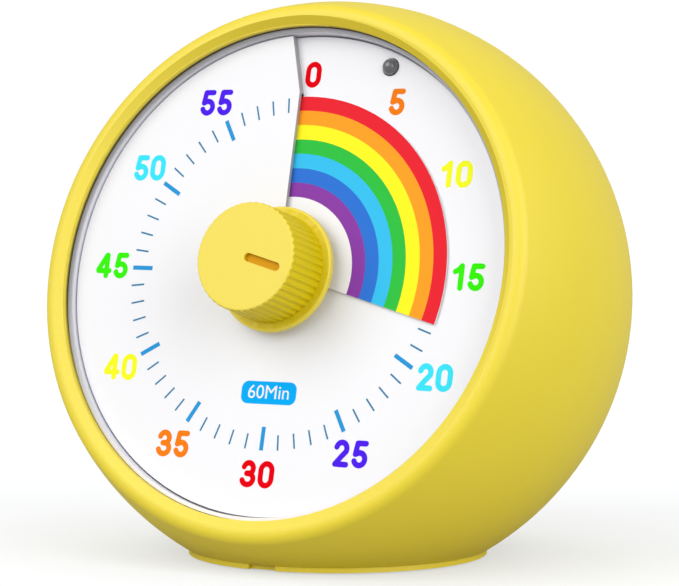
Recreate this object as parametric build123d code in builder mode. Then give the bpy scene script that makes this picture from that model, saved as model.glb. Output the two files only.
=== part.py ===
"""Visual countdown timer: a ball on a flat foot, with a tilted dial and a rainbow disc.

The origin is on the table, under the centre of the ball. +Z is up and the dial looks towards -Y.
The dial plate is a one-turn ramp with a radial slit. The rainbow disc is a parallel ramp that the
knob screws out through the slit, so it lies above the plate for as many minutes as are left.
"""

from build123d import *
import math
import os

os.makedirs("parts", exist_ok=True)


def sphere_depth(sphere, radius):
    """Distance from a sphere's centre to the plane where it has this radius."""
    return math.sqrt(sphere**2 - radius**2)


# ---------------------------------------------------------------- driving dimensions (mm, degrees)
# Ball and foot
ball_radius = 50.0
wall = 2.2
foot_cut = 6.0             # slice of the ball that the foot takes away
foot_gap = 0.25            # foot cover above the table, the rubber pad reaches down to it
foot_lip = 0.9
foot_step = 0.25           # foot cover inside the ball's edge
back_cut = 10.0            # slice that the flat back takes away
seam_share = 0.54          # rear seam behind the centre, over the ball's radius
back_edge_round = 3.0

# Dial opening, measured along the dial's axis
dial_tilt = 13.9
rim_front = 22.5           # rim in front of the ball's centre
rim_width = 1.65
rim_round = 2.0
bevel_width = 1.55
bevel_depth = 0.4
tray_depth = 6.8           # seat of the dial tray behind the rim
ledge_thickness = 1.5
tray_floor = 1.2
ring_wall = 0.6
ring_height = 3.8          # white ring above the tray's floor

# Ramp of the dial plate and of the disc
ramp_rise = 1.4            # rise in one turn
plate_gap = 0.3
plate_bore = 7.0
slit_offset = 0.7
step_lean = 2.9            # sideways lean of the step between the slit and the plate's edge
step_wall = 0.8
post_radius = 1.2
disc_thickness = 0.25
disc_gap = 0.2
disc_radius = 30.0
minutes_shown = 17.58

# Lamp
lamp_angle = 23.63         # clock angle
lamp_inset = 3.3           # lamp's middle inside the dial tray's edge
lamp_radius = 1.4
lamp_flange = 1.9

# Knob
knob_above = 1.4           # flange above the highest point of the plate
knob_height = 10.4
flange_radius = 10.5
flange_thickness = 0.95
grip_back_radius = 9.15
grip_front_radius = 9.0
flute_count = 48
flute_radius = 0.45
flute_depth = 0.34
knob_skin = 2.2
pointer_length = 7.0
pointer_width = 1.4
pointer_recess = 0.7
pointer_thickness = 0.7

# Shaft, clutch and gears
shaft_radius = 3.0
shaft_flat = 0.5
journal_radius = 1.5
clutch_radius = 5.5
bush_wall = 1.45
gear_share = 0.01          # gear module over the ball's radius
drive_teeth = 48
idler_teeth = 36
pinion_teeth = 12
tooth_play = 0.1
gear_width = 2.0
wheel_width = 1.5
idler_direction = 225.0    # directions seen from the front, counterclockwise from the right
motor_direction = 315.0
case_depth = 10.2
case_wall = 1.5
motor_share = 0.17         # motor can's radius over the ball's radius
motor_length = 10.0

# Boards
board_gap = 1.25           # between the board's straight edge and the gear case
board_screw_inset = 11.6   # board screws inside the dial tray's edge
board_screw_angles = [42, 90, 138]
board_standoff = 5.1
board_thickness = 1.6

# Stop button on the crown
button_length = 32.0
button_width = 16.0
button_to_seam = 5.0       # room between the button and the rear seam
button_proud = 0.4
button_travel = 0.6
guide_drop = 0.65          # stop edge of the button's guide below the shell's inner face
flange_reach = 0.6         # button's flange under that stop edge
switch_height = 3.6

# Battery, buzzer and volume switch in the rear cover
cell_radius = 7.15
cell_length = 50.5
spring_length = 4.0
bay_drop = 4.0             # battery axis below the ball's centre
bay_wall = 1.5
door_thickness = 2.0
buzzer_radius = 10.0
buzzer_height = 4.0
buzzer_up = 18.0
slider_length = 6.5
slider_width = 5.2
slider_drop = 21.0
slider_travel = 2.0        # to each side

# Screws
screw_radius = 0.95
head_radius = 1.9
head_height = 1.2
cover_screw_radius = 1.25
cover_head_radius = 2.5
cover_head_height = 1.7
cover_screw_inset = 5.45   # screw circle inside the shell's inner face at the seam
cover_screw_bite = 9.9     # thread in the housing
cover_screw_grip = 3.5     # rear cover under the screw's head
cover_screw_angles = [35, 145, 225, 315]
tray_screw_inset = 4.6     # tray screws inside the dial tray's edge

# Clearances
running = 0.05             # radial, round a turning shaft
hole_clearance = 0.15      # radial, round a screw, a lamp or a leg
seat_gap = 0.1             # between fixed pieces that lie in one another
moving_gap = 0.3           # round the button, the door and the slider

# ---------------------------------------------------------------- derived sizes
tilt = math.radians(dial_tilt)
inner_radius = ball_radius - wall
gear_module = gear_share * ball_radius
motor_radius = motor_share * ball_radius
centre_height = ball_radius - foot_cut
foot_top = foot_gap + foot_lip
back_flat = ball_radius - back_cut
seam_behind = seam_share * ball_radius
cover_depth = back_flat - seam_behind
button_behind = seam_behind - button_to_seam - button_width / 2
rim_radius = sphere_depth(ball_radius, rim_front)
bevel_radius = rim_radius - rim_width
opening_radius = bevel_radius - bevel_width
ledge_front = rim_front - tray_depth
ledge_back = ledge_front - ledge_thickness
tray_radius = opening_radius - seat_gap
tray_top = ledge_front + tray_floor
ring_inner = tray_radius - ring_wall
plate_radius = ring_inner - plate_gap
plate_thickness = ramp_rise - disc_thickness - 2 * disc_gap
ramp_start = tray_top + ramp_rise
ramp_end = ramp_start + ramp_rise
disc_offset = disc_gap + disc_thickness / 2      # middle of the disc above the plate
turned = minutes_shown * 6
knob_back = ramp_end + knob_above
knob_front = knob_back + knob_height
grip_back = knob_back + flange_thickness

# ---------------------------------------------------------------- planes
centre = Vector(0, 0, centre_height)
dial = Plane(origin=centre, x_dir=(1, 0, 0), z_dir=(0, -math.cos(tilt), math.sin(tilt)))
dial_section = Plane(origin=centre, x_dir=(1, 0, 0), z_dir=(0, -math.sin(tilt), -math.cos(tilt)))
dial_axis = Axis(centre, dial.z_dir)
rear = Plane(origin=centre, x_dir=(-1, 0, 0), z_dir=(0, 1, 0))
rear_section = Plane.XY.offset(centre_height)
rear_axis = Axis(centre, rear.z_dir)


def crown_plane(height):
    """Level plane at this height above the ball's centre, with its origin under the button."""
    return Plane(origin=(0, button_behind, centre_height + height))


def clock_plane(angle, height):
    """Dial plane at this height, with its X axis pointing at a clock angle in degrees."""
    origin = centre + dial.z_dir * height
    return Plane(origin=origin, x_dir=dial.x_dir.rotate(dial_axis, 90 - angle), z_dir=dial.z_dir)


# ---------------------------------------------------------------- shared shapes
def ring_of(radius, angles):
    """Points on a circle at these angles, counterclockwise from the right."""
    return [(radius * math.cos(math.radians(a)), radius * math.sin(math.radians(a))) for a in angles]


def ramp_height(angle):
    """Height of the plate's surface at a clock angle."""
    return ramp_start + ramp_rise * angle / 360


def ramp_strip(inner, outer, thickness, start, turn, height):
    """Radial strip and the helix that carries it clockwise; height is its middle at the start."""
    plane = clock_plane(start, height)
    coil = Helix(
        pitch=ramp_rise, height=ramp_rise * turn / 360, radius=(inner + outer) / 2, lefthand=True
    )
    path = plane.from_local_coords(coil)
    with BuildSketch(Plane(origin=path @ 0, x_dir=plane.x_dir, z_dir=path % 0)) as strip:
        Rectangle(outer - inner, thickness)
    return strip.sketch, path


def tip_radius(teeth):
    """Outer radius of a gear."""
    return gear_module * (teeth / 2 + 0.9)


def gear_profile(teeth, phase):
    """Involute gear outline with a tooth centred at the phase angle in degrees."""
    pitch_radius = gear_module * teeth / 2
    base_radius = pitch_radius * math.cos(math.radians(20))
    root_radius = gear_module * (teeth / 2 - 1.25)

    def roll(radius):
        """Involute angle at a radius, zero on and inside the base circle."""
        ratio = max(radius / base_radius, 1.0)
        return math.sqrt(ratio**2 - 1) - math.acos(1 / ratio)

    half_tooth = math.pi / 2 / teeth - tooth_play / 2 / pitch_radius + roll(pitch_radius)
    flank = [root_radius, pitch_radius, tip_radius(teeth)]
    if base_radius > root_radius:
        flank.insert(1, base_radius)
    points = []
    for tooth in range(teeth):
        middle = math.radians(phase) + 2 * math.pi * tooth / teeth
        rising = [(radius, middle - half_tooth + roll(radius)) for radius in flank]
        falling = [(radius, middle + half_tooth - roll(radius)) for radius in reversed(flank)]
        points += [(r * math.cos(a), r * math.sin(a)) for r, a in rising + falling]
    return points


def screw_group(seat, spots, length):
    """Small screws with their heads behind the seat plane and their shanks in front of it."""
    with BuildPart() as group:
        with BuildSketch(seat):
            with Locations(*spots):
                Circle(head_radius)
        extrude(amount=-head_height)
        with BuildSketch(seat):
            with Locations(*spots):
                Circle(screw_radius)
        extrude(amount=length)
    return group.part


# ---------------------------------------------------------------- ball housing
seam_radius = sphere_depth(ball_radius, seam_behind)
spigot_length = 3.0
spigot_wall = 1.5
spigot_radius = sphere_depth(inner_radius, seam_behind) - hole_clearance
cover_screw_circle = spigot_radius + hole_clearance - cover_screw_inset
cover_screws_at = ring_of(cover_screw_circle, cover_screw_angles)
boss_length = 15.0
boss_radius = 3.2
boss_front = seam_behind - boss_length
screw_tip = seam_behind - cover_screw_bite - seat_gap
web_length = 14.0
web_thickness = 1.6
collar_wall = 1.55
collar_radius = opening_radius + collar_wall
collar_front = sphere_depth(inner_radius, collar_radius)
guide_back = button_behind + button_width / 2 + moving_gap + flange_reach
guide_bottom = sphere_depth(inner_radius, guide_back) - guide_drop
guide_depth = ball_radius - guide_bottom
guide_wall = 1.2
board_boss_radius = 2.5
button_stem = 4.2
button_flange = 1.2
flange_top = guide_bottom - moving_gap
button_bottom = flange_top - button_flange
stem_bottom = button_bottom - button_stem
plunger_height = 1.0
button_board_top = stem_bottom - plunger_height - switch_height
button_screws_at = [(button_length / 2 + 5, 0), (-button_length / 2 - 5, 0)]
button_screw_grip = 5.0
tray_screw_circle = tray_radius - tray_screw_inset
tray_screws_at = ring_of(tray_screw_circle, [20, 140, 260])
tray_boss_radius = 2.2
tray_head_radius = tray_boss_radius + 0.7
ledge_radius = tray_screw_circle - tray_head_radius - 0.1
lamp_circle = tray_radius - lamp_inset
lamp_across = lamp_circle * math.sin(math.radians(lamp_angle))
lamp_up = lamp_circle * math.cos(math.radians(lamp_angle))
lamp_at = (lamp_across, lamp_up)

with BuildPart() as housing_bosses:
    with BuildSketch(rear.offset(boss_front)):
        with Locations(*cover_screws_at):
            Circle(boss_radius)
    extrude(amount=boss_length - seat_gap)
    with BuildSketch(rear.offset(boss_front)):
        for angle in cover_screw_angles:
            with PolarLocations(cover_screw_circle + web_length / 2, 1, start_angle=angle):
                Rectangle(web_length, web_thickness)
    extrude(amount=boss_length - spigot_length - moving_gap)
    with BuildSketch(crown_plane(guide_bottom)):
        Ellipse(
            button_length / 2 + moving_gap + guide_wall, button_width / 2 + moving_gap + guide_wall
        )
    extrude(amount=guide_depth)
    with BuildSketch(crown_plane(button_board_top)):
        with Locations(*button_screws_at):
            Circle(board_boss_radius)
    extrude(amount=ball_radius - button_board_top)
    with Locations(centre):
        Sphere(inner_radius + wall / 2, mode=Mode.INTERSECT)

with BuildPart() as ball_housing:
    with BuildSketch(dial_section):
        with BuildLine():
            ThreePointArc((0, -ball_radius), (ball_radius, 0), (rim_radius, rim_front))
            Polyline(
                (rim_radius, rim_front),
                (bevel_radius, rim_front),
                (opening_radius, rim_front - bevel_depth),
                (opening_radius, ledge_front),
                (ledge_radius, ledge_front),
                (ledge_radius, ledge_back),
                (collar_radius, ledge_back),
                (collar_radius, collar_front),
            )
            ThreePointArc((collar_radius, collar_front), (inner_radius, 0), (0, -inner_radius))
            Line((0, -inner_radius), (0, -ball_radius))
        make_face()
    revolve(axis=dial_axis)
    add(housing_bosses.part)
    # flat cuts for the foot and for the rear seam
    with BuildSketch(Plane.XY.offset(foot_top)):
        Circle(ball_radius)
    extrude(amount=-ball_radius, mode=Mode.SUBTRACT)
    with BuildSketch(rear.offset(seam_behind)):
        Circle(ball_radius)
    extrude(amount=ball_radius, mode=Mode.SUBTRACT)
    # well of the stop button
    with BuildSketch(crown_plane(guide_bottom)):
        Ellipse(button_length / 2 + moving_gap, button_width / 2 + moving_gap)
    extrude(amount=ball_radius, mode=Mode.SUBTRACT)
    # screw holes, and holes in the ledge for the tray's bosses and the lamp
    with BuildSketch(rear.offset(screw_tip)):
        with Locations(*cover_screws_at):
            Circle(cover_screw_radius + running)
    extrude(amount=seam_behind, mode=Mode.SUBTRACT)
    with BuildSketch(crown_plane(button_board_top)):
        with Locations(*button_screws_at):
            Circle(screw_radius + running)
    extrude(amount=button_screw_grip + seat_gap, mode=Mode.SUBTRACT)
    with BuildSketch(dial.offset(ledge_front)):
        with Locations(*tray_screws_at):
            Circle(tray_boss_radius + hole_clearance)
        with Locations(lamp_at):
            Circle(lamp_flange + 4 * hole_clearance)
    extrude(amount=-ledge_thickness, mode=Mode.SUBTRACT)
    rim_edge = ball_housing.edges().filter_by(GeomType.CIRCLE).filter_by(
        lambda edge: abs(edge.radius - rim_radius) < 0.01
        and abs(dial.to_local_coords(edge.arc_center).Z - rim_front) < 0.01
    )
    fillet(rim_edge, radius=rim_round)

ball_housing.part.label = "ball_housing"
export_step(ball_housing.part, "parts/ball_housing.step")

# ---------------------------------------------------------------- rear cover
flat_radius = sphere_depth(ball_radius, back_flat)
inner_flat = back_flat - wall
contact_sheet = 0.4
bay_length = cell_length + spring_length + 2 * contact_sheet + 2 * seat_gap
bay_height = 2 * cell_radius + 0.7
bay_depth = 2 * cell_radius + 1.9
bay_ledge = back_flat - door_thickness - moving_gap
bay_floor = bay_ledge - bay_depth
door_length = bay_length - 4
door_height = bay_height + 0.8
door_low = -bay_drop - door_height / 2           # lower edge of the door
hook_across = 15.0
hook_width = 6.0
hook_drop = 0.6            # hooks reach this far below the door's lower edge
hook_thickness = 1.2
hook_root = 2.0
hook_behind = 0.6          # hooks behind the door's inner face
notch_radius = 4.0
notch_depth = 1.2
buzzer_back = inner_flat - 1
buzzer_ring = 1.4
sound_hole_radius = 1.0
sound_hole_circle = 4.0
pocket_depth = 1.0
slider_floor = back_flat - pocket_depth
slider_pad = slider_floor - 2.4
slider_end = slider_travel + 0.5                 # room past each end of the slider
stem_across = 4.0
stem_wide = 2.0
switch_pad_length = 22.0
switch_pad_width = 9.5
screw_seat = seam_behind + cover_screw_grip
cover_boss_radius = 4.2
head_recess = cover_head_radius + 0.5

with BuildPart() as cover_bosses:
    with BuildSketch(rear.offset(seam_behind)):
        with Locations(*cover_screws_at):
            Circle(cover_boss_radius)
    extrude(amount=cover_depth)
    with BuildSketch(rear.offset(bay_floor - bay_wall)):
        with Locations((0, -bay_drop)):
            Rectangle(bay_length + 2 * bay_wall, bay_height + 2 * bay_wall)
    extrude(amount=bay_depth + bay_wall)
    with BuildSketch(rear.offset(bay_ledge)):
        with Locations((0, -bay_drop)):
            Rectangle(bay_length + 2 * bay_wall, bay_height + 2 * bay_wall)
            Rectangle(door_length + 2 * moving_gap, door_height + 2 * moving_gap, mode=Mode.SUBTRACT)
    extrude(amount=inner_flat - bay_ledge)
    with BuildSketch(rear.offset(buzzer_back - buzzer_height + 1)):
        with Locations((0, buzzer_up)):
            Circle(buzzer_radius + buzzer_ring)
            Circle(buzzer_radius + seat_gap, mode=Mode.SUBTRACT)
    extrude(amount=buzzer_height)
    with BuildSketch(rear.offset(buzzer_back)):
        with Locations((0, buzzer_up)):
            Circle(buzzer_radius + seat_gap)
            Circle(buzzer_radius - buzzer_ring, mode=Mode.SUBTRACT)
    extrude(amount=inner_flat - buzzer_back)
    with BuildSketch(rear.offset(slider_pad)):
        with Locations((0, -slider_drop)):
            Rectangle(switch_pad_length, switch_pad_width)
    extrude(amount=slider_floor - slider_pad)
    with Locations(centre):
        Sphere(inner_radius + wall / 2, mode=Mode.INTERSECT)
    split(bisect_by=rear.offset(back_flat - wall / 2), keep=Keep.BOTTOM)

with BuildPart() as rear_cover:
    with BuildSketch(rear_section):
        with BuildLine():
            spigot_inner = spigot_radius - spigot_wall
            inner_edge = sphere_depth(inner_radius, inner_flat)
            spigot_root = sphere_depth(inner_radius, spigot_inner)
            outer_middle = (seam_behind + back_flat) / 2
            inner_middle = (spigot_root + inner_flat) / 2
            ThreePointArc(
                (seam_radius, seam_behind),
                (sphere_depth(ball_radius, outer_middle), outer_middle),
                (flat_radius, back_flat),
            )
            Polyline((flat_radius, back_flat), (0, back_flat), (0, inner_flat), (inner_edge, inner_flat))
            ThreePointArc(
                (inner_edge, inner_flat),
                (sphere_depth(inner_radius, inner_middle), inner_middle),
                (spigot_inner, spigot_root),
            )
            Polyline(
                (spigot_inner, spigot_root),
                (spigot_inner, seam_behind - spigot_length),
                (spigot_radius, seam_behind - spigot_length),
                (spigot_radius, seam_behind),
                (seam_radius, seam_behind),
            )
        make_face()
    revolve(axis=rear_axis)
    back_edge = rear_cover.edges().filter_by(GeomType.CIRCLE).filter_by(
        lambda edge: abs(edge.radius - flat_radius) < 0.01
    )
    fillet(back_edge, radius=back_edge_round)
    add(cover_bosses.part)
    # battery bay and the opening for its door
    with BuildSketch(rear.offset(bay_floor)):
        with Locations((0, -bay_drop)):
            Rectangle(bay_length, bay_height)
    extrude(amount=bay_depth, mode=Mode.SUBTRACT)
    with BuildSketch(rear.offset(bay_ledge)):
        with Locations((0, -bay_drop)):
            Rectangle(door_length + 2 * moving_gap, door_height + 2 * moving_gap)
    extrude(amount=ball_radius, mode=Mode.SUBTRACT)
    # slots in the lower wall for the door's hooks, and the finger notch above the door
    with BuildSketch(rear.offset(bay_ledge)):
        for across in (-hook_across, hook_across):
            with Locations((across, door_low)):
                Rectangle(hook_width + 4 * moving_gap, 4 * hook_drop)
    extrude(amount=-hook_behind - hook_thickness - moving_gap, mode=Mode.SUBTRACT)
    with BuildSketch(rear.offset(back_flat - notch_depth)):
        with Locations((0, door_low + door_height)):
            Circle(notch_radius)
    extrude(amount=notch_depth, mode=Mode.SUBTRACT)
    # screw holes and the recesses for their heads
    with BuildSketch(rear.offset(seam_behind)):
        with Locations(*cover_screws_at):
            Circle(cover_screw_radius + hole_clearance)
    extrude(amount=cover_depth, mode=Mode.SUBTRACT)
    with BuildSketch(rear.offset(screw_seat)):
        with Locations(*cover_screws_at):
            Circle(head_recess)
    extrude(amount=cover_depth, mode=Mode.SUBTRACT)
    # sound holes
    with BuildSketch(rear.offset(buzzer_back)):
        with Locations((0, buzzer_up)):
            Circle(sound_hole_radius)
            with PolarLocations(sound_hole_circle, 6):
                Circle(sound_hole_radius)
    extrude(amount=cover_depth, mode=Mode.SUBTRACT)
    # pocket and slot of the volume slider
    with BuildSketch(rear.offset(slider_floor)):
        with Locations((0, -slider_drop)):
            RectangleRounded(slider_length + 2 * slider_end, slider_width + 4 * moving_gap, 1.2)
    extrude(amount=pocket_depth, mode=Mode.SUBTRACT)
    with BuildSketch(rear.offset(slider_pad)):
        with Locations((0, -slider_drop)):
            Rectangle(stem_across + 2 * slider_end, stem_wide + 2 * moving_gap)
    extrude(amount=slider_floor - slider_pad, mode=Mode.SUBTRACT)

rear_cover.part.label = "rear_cover"
export_step(rear_cover.part, "parts/rear_cover.step")

# ---------------------------------------------------------------- foot cover and pad
foot_radius = sphere_depth(ball_radius, centre_height - foot_top) - foot_step
foot_opening = sphere_depth(inner_radius, centre_height - foot_top)
foot_spigot = foot_opening - 4 * seat_gap
foot_spigot_height = 1.85
snap_reach = 1.0
snap_thickness = 1.05
snap_width = 10.0
notch_width = 5.0
pad_radius = 20.0
pad_thickness = 1.05

with BuildPart() as base_cover:
    with BuildSketch(Plane.XY.offset(foot_gap)):
        Circle(foot_radius)
    extrude(amount=foot_lip)
    with BuildSketch(Plane.XY.offset(foot_top)):
        Circle(foot_spigot)
    extrude(amount=foot_spigot_height)
    # three snaps above the edge of the ball's opening
    with BuildSketch(Plane.XY.offset(foot_top + foot_spigot_height - snap_thickness)):
        with PolarLocations(foot_spigot, 3, start_angle=90):
            Rectangle(4 * snap_reach, snap_width)
        Circle(foot_spigot + snap_reach, mode=Mode.INTERSECT)
    extrude(amount=snap_thickness)
    # recess of the pad and the pry notch in the front edge
    with BuildSketch(Plane.XY):
        Circle(pad_radius + seat_gap)
    extrude(amount=pad_thickness, mode=Mode.SUBTRACT)
    with BuildSketch(Plane.XY):
        with Locations((0, -foot_radius)):
            Rectangle(notch_width, 2 * foot_lip)
    extrude(amount=foot_top, mode=Mode.SUBTRACT)

base_cover.part.label = "base_cover"
export_step(base_cover.part, "parts/base_cover.step")

with BuildPart() as base_pad:
    with BuildSketch(Plane.XY):
        Circle(pad_radius)
    extrude(amount=pad_thickness)
    fillet(base_pad.faces().sort_by(Axis.Z)[0].edges(), radius=foot_gap / 2)

base_pad.part.label = "base_pad"
export_step(base_pad.part, "parts/base_pad.step")

# ---------------------------------------------------------------- dial tray
bush_radius = shaft_radius + running + bush_wall
idler_distance = gear_module * (drive_teeth + pinion_teeth) / 2
motor_distance = gear_module * (idler_teeth + pinion_teeth) / 2
idler_at = ring_of(idler_distance, [idler_direction])[0]
motor_from_idler = ring_of(motor_distance, [motor_direction])[0]
motor_at = (idler_at[0] + motor_from_idler[0], idler_at[1] + motor_from_idler[1])
tooth_room = 0.8           # between the teeth and the case's walls
case_right = tip_radius(drive_teeth) + tooth_room
case_top = case_right
case_left = idler_at[0] - tip_radius(idler_teeth) - tooth_room
case_low = motor_at[1] - tip_radius(pinion_teeth) - tooth_room
case_inset = 2.7           # case screws inside the case's walls
case_screws_at = [
    (x, y)
    for x in (case_left + case_inset, case_right - case_inset)
    for y in (case_low + case_inset, case_top - case_inset)
]
board_edge = case_top + case_wall + board_gap
board_screws_at = ring_of(tray_radius - board_screw_inset, board_screw_angles)
case_boss = 3.0
case_boss_radius = 1.8
idler_boss = 2.5
idler_boss_radius = 2.2
idler_pin_radius = 1.0
skin = 0.6                 # tray left over the blind screw holes
screw_end = tray_top - skin - seat_gap

with BuildPart() as dial_tray:
    with BuildSketch(dial_section):
        with BuildLine():
            Polyline(
                (bush_radius + running, ledge_front),
                (tray_radius, ledge_front),
                (tray_radius, tray_top + ring_height),
                (ring_inner, tray_top + ring_height),
                (ring_inner, tray_top),
                (bush_radius + running, tray_top),
                close=True,
            )
        make_face()
    revolve(axis=dial_axis)
    # bosses on its back
    with BuildSketch(dial.offset(ledge_front)):
        with Locations(*board_screws_at):
            Circle(board_boss_radius)
    extrude(amount=-board_standoff)
    with BuildSketch(dial.offset(ledge_front)):
        with Locations(*case_screws_at):
            Circle(case_boss_radius)
    extrude(amount=-case_boss)
    with BuildSketch(dial.offset(ledge_front)):
        with Locations(idler_at):
            Circle(idler_boss_radius)
    extrude(amount=-idler_boss)
    with BuildSketch(dial.offset(ledge_front)):
        with Locations(*tray_screws_at):
            Circle(tray_boss_radius)
    extrude(amount=-ledge_thickness + seat_gap)
    # blind holes from the back and the lamp's hole
    with BuildSketch(dial.offset(tray_top - skin)):
        with Locations(*board_screws_at, *case_screws_at, *tray_screws_at):
            Circle(screw_radius + running)
        with Locations(idler_at):
            Circle(idler_pin_radius + running)
    extrude(amount=-board_standoff - tray_floor, mode=Mode.SUBTRACT)
    with BuildSketch(dial.offset(tray_top)):
        with Locations(lamp_at):
            Circle(lamp_radius + hole_clearance)
    extrude(amount=-tray_floor, mode=Mode.SUBTRACT)

dial_tray.part.label = "dial_tray"
export_step(dial_tray.part, "parts/dial_tray.step")

# ---------------------------------------------------------------- dial plate
overlap_turn = 8.0         # degrees swept past the slit before it is cut
cutter_width = 12.0
between_sheets = ramp_start + (ramp_rise - plate_thickness) / 2
slit_end = disc_radius + 0.6
post_circle = plate_radius - post_radius - 0.2
step_inner = (-slit_offset, slit_end)
step_outer = (-slit_offset - step_lean, plate_radius + 1)
step_line = [(-slit_offset, 0), step_inner, step_outer]

with BuildPart() as dial_plate:
    strip, path = ramp_strip(
        plate_bore,
        plate_radius,
        plate_thickness,
        -overlap_turn,
        360 + overlap_turn,
        ramp_height(-overlap_turn) - plate_thickness / 2,
    )
    sweep(sections=strip, path=path, is_frenet=True)
    # the lower sheet starts at the slit and the leaning step, and the upper sheet ends there
    with BuildSketch(dial.offset(between_sheets)):
        Polygon(*step_line, (-cutter_width, step_outer[1]), (-cutter_width, 0), align=None)
    extrude(amount=-ramp_rise, mode=Mode.SUBTRACT)
    with BuildSketch(dial.offset(between_sheets)):
        Polygon(*step_line, (cutter_width, step_outer[1]), (cutter_width, 0), align=None)
    extrude(amount=2 * ramp_rise, mode=Mode.SUBTRACT)
    # step wall beyond the slit, down to the tray
    with BuildSketch(dial.offset(tray_top)):
        Polygon(
            step_inner,
            step_outer,
            (step_outer[0] - step_wall, step_outer[1]),
            (step_inner[0] - step_wall, step_inner[1]),
            align=None,
        )
        Circle(plate_radius, mode=Mode.INTERSECT)
    extrude(amount=ramp_height(360 - overlap_turn) - tray_top)
    # posts that carry the plate on the tray
    for angle in range(45, 360, 45):
        with BuildSketch(clock_plane(angle, tray_top)):
            with Locations((post_circle, 0)):
                Circle(post_radius)
        extrude(amount=ramp_height(angle) - plate_thickness / 2 - tray_top)
    with BuildSketch(dial.offset(tray_top)):
        with Locations(lamp_at):
            Circle(lamp_radius + hole_clearance)
    extrude(amount=3 * ramp_rise, mode=Mode.SUBTRACT)

dial_plate.part.label = "dial_plate"
export_step(dial_plate.part, "parts/dial_plate.step")

# ---------------------------------------------------------------- rainbow disc and its hub
hub_wall = 1.9
hub_bore = shaft_radius + 2 * running
hub_radius = hub_bore + hub_wall
disc_bore = hub_radius + seat_gap
disc_lead = ramp_height(turned) + disc_offset    # middle of the disc at its leading edge
disc_tail = disc_lead - ramp_rise
lip_thickness = 0.35
lip_reach = 1.4
lip_root = 0.6             # lip sunk into the hub
lip_play = 0.01            # lip above the disc
hub_low = disc_tail - disc_thickness / 2
hub_high = disc_lead + disc_thickness / 2 + lip_thickness

with BuildPart() as rainbow_disc:
    strip, path = ramp_strip(disc_bore, disc_radius, disc_thickness, turned - 360, 360, disc_tail)
    sweep(sections=strip, path=path, is_frenet=True)

rainbow_disc.part.label = "rainbow_disc"
export_step(rainbow_disc.part, "parts/rainbow_disc.step")

with BuildPart() as disc_hub:
    with BuildSketch(dial.offset(hub_low)):
        Circle(hub_radius)
    extrude(amount=hub_high - hub_low)
    strip, path = ramp_strip(
        hub_radius - lip_root,
        hub_radius + lip_reach,
        lip_thickness,
        turned - 359,
        357,
        disc_tail + ramp_rise / 360 + (disc_thickness + lip_thickness) / 2 + lip_play,
    )
    sweep(sections=strip, path=path, is_frenet=True)
    with BuildSketch(clock_plane(turned, hub_low)):
        Circle(hub_bore)
        with Locations((hub_bore, 0)):
            Rectangle(2 * shaft_flat, 2 * hub_bore, mode=Mode.SUBTRACT)
    extrude(amount=hub_high - hub_low, mode=Mode.SUBTRACT)

disc_hub.part.label = "disc_hub"
export_step(disc_hub.part, "parts/disc_hub.step")

# ---------------------------------------------------------------- lamp and its legs
lamp_top = ramp_height(lamp_angle)
lamp_flange_height = 1.0
lamp_back = ledge_front - lamp_flange_height - seat_gap
leg_pitch = 2.54
leg_width = 0.5
leg_end = 1.0              # legs beyond the board
legs_at = [(lamp_across - leg_pitch / 2, lamp_up), (lamp_across + leg_pitch / 2, lamp_up)]
board_front = ledge_front - board_standoff
board_back = board_front - board_thickness

with BuildPart() as status_led:
    with BuildSketch(dial.offset(lamp_back)):
        with Locations(lamp_at):
            Circle(lamp_flange)
    extrude(amount=lamp_flange_height)
    with BuildSketch(dial.offset(lamp_back)):
        with Locations(lamp_at):
            Circle(lamp_radius)
    extrude(amount=lamp_top - lamp_back)
    with Locations(dial.from_local_coords(Vector(lamp_across, lamp_up, lamp_top))):
        Sphere(lamp_radius)

status_led.part.label = "status_led"
export_step(status_led.part, "parts/status_led.step")

with BuildPart() as led_legs:
    with BuildSketch(dial.offset(lamp_back)):
        with Locations(*legs_at):
            Rectangle(leg_width, leg_width)
    extrude(amount=board_back - leg_end - lamp_back)

led_legs.part.label = "led_legs"
export_step(led_legs.part, "parts/led_legs.step")

# ---------------------------------------------------------------- main board and what it carries
board_radius = tray_radius - 0.85
chip_at = ring_of(tray_radius - 16, [108])[0]
chip_length = 8.6
chip_width = 3.9
chip_height = 1.6
chip_standoff = 0.2
crystal_at = ring_of(tray_radius - 17.6, [68])[0]
crystal_length = 8.0
crystal_width = 3.2
crystal_height = 3.4
capacitor_at = ring_of(tray_radius - 7.7, [120])[0]
capacitor_radius = 2.5
capacitor_height = 7.0

with BuildPart() as circuit_board:
    with BuildSketch(dial.offset(board_front)):
        Circle(board_radius)
        with Locations((0, board_edge - board_radius)):
            Rectangle(2 * board_radius, 2 * board_radius, mode=Mode.SUBTRACT)
        with Locations(*board_screws_at):
            Circle(screw_radius + hole_clearance, mode=Mode.SUBTRACT)
        with Locations(*legs_at):
            Rectangle(leg_width + 2 * seat_gap, leg_width + 2 * seat_gap, mode=Mode.SUBTRACT)
    extrude(amount=-board_thickness)

circuit_board.part.label = "circuit_board"
export_step(circuit_board.part, "parts/circuit_board.step")

with BuildPart() as timer_chip:
    with BuildSketch(dial.offset(board_back - chip_standoff)):
        with Locations(chip_at):
            Rectangle(chip_length, chip_width)
    extrude(amount=-chip_height + chip_standoff)
    with BuildSketch(dial.offset(board_back)):
        with Locations(chip_at):
            with GridLocations(1.27, chip_width + 1.4, 6, 2):
                Rectangle(0.4, 1.6)
    extrude(amount=-2 * chip_standoff)

timer_chip.part.label = "timer_chip"
export_step(timer_chip.part, "parts/timer_chip.step")

with BuildPart() as quartz_crystal:
    with BuildSketch(dial.offset(board_back)):
        with Locations(crystal_at):
            SlotOverall(crystal_length, crystal_width)
    extrude(amount=-crystal_height)

quartz_crystal.part.label = "quartz_crystal"
export_step(quartz_crystal.part, "parts/quartz_crystal.step")

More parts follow.
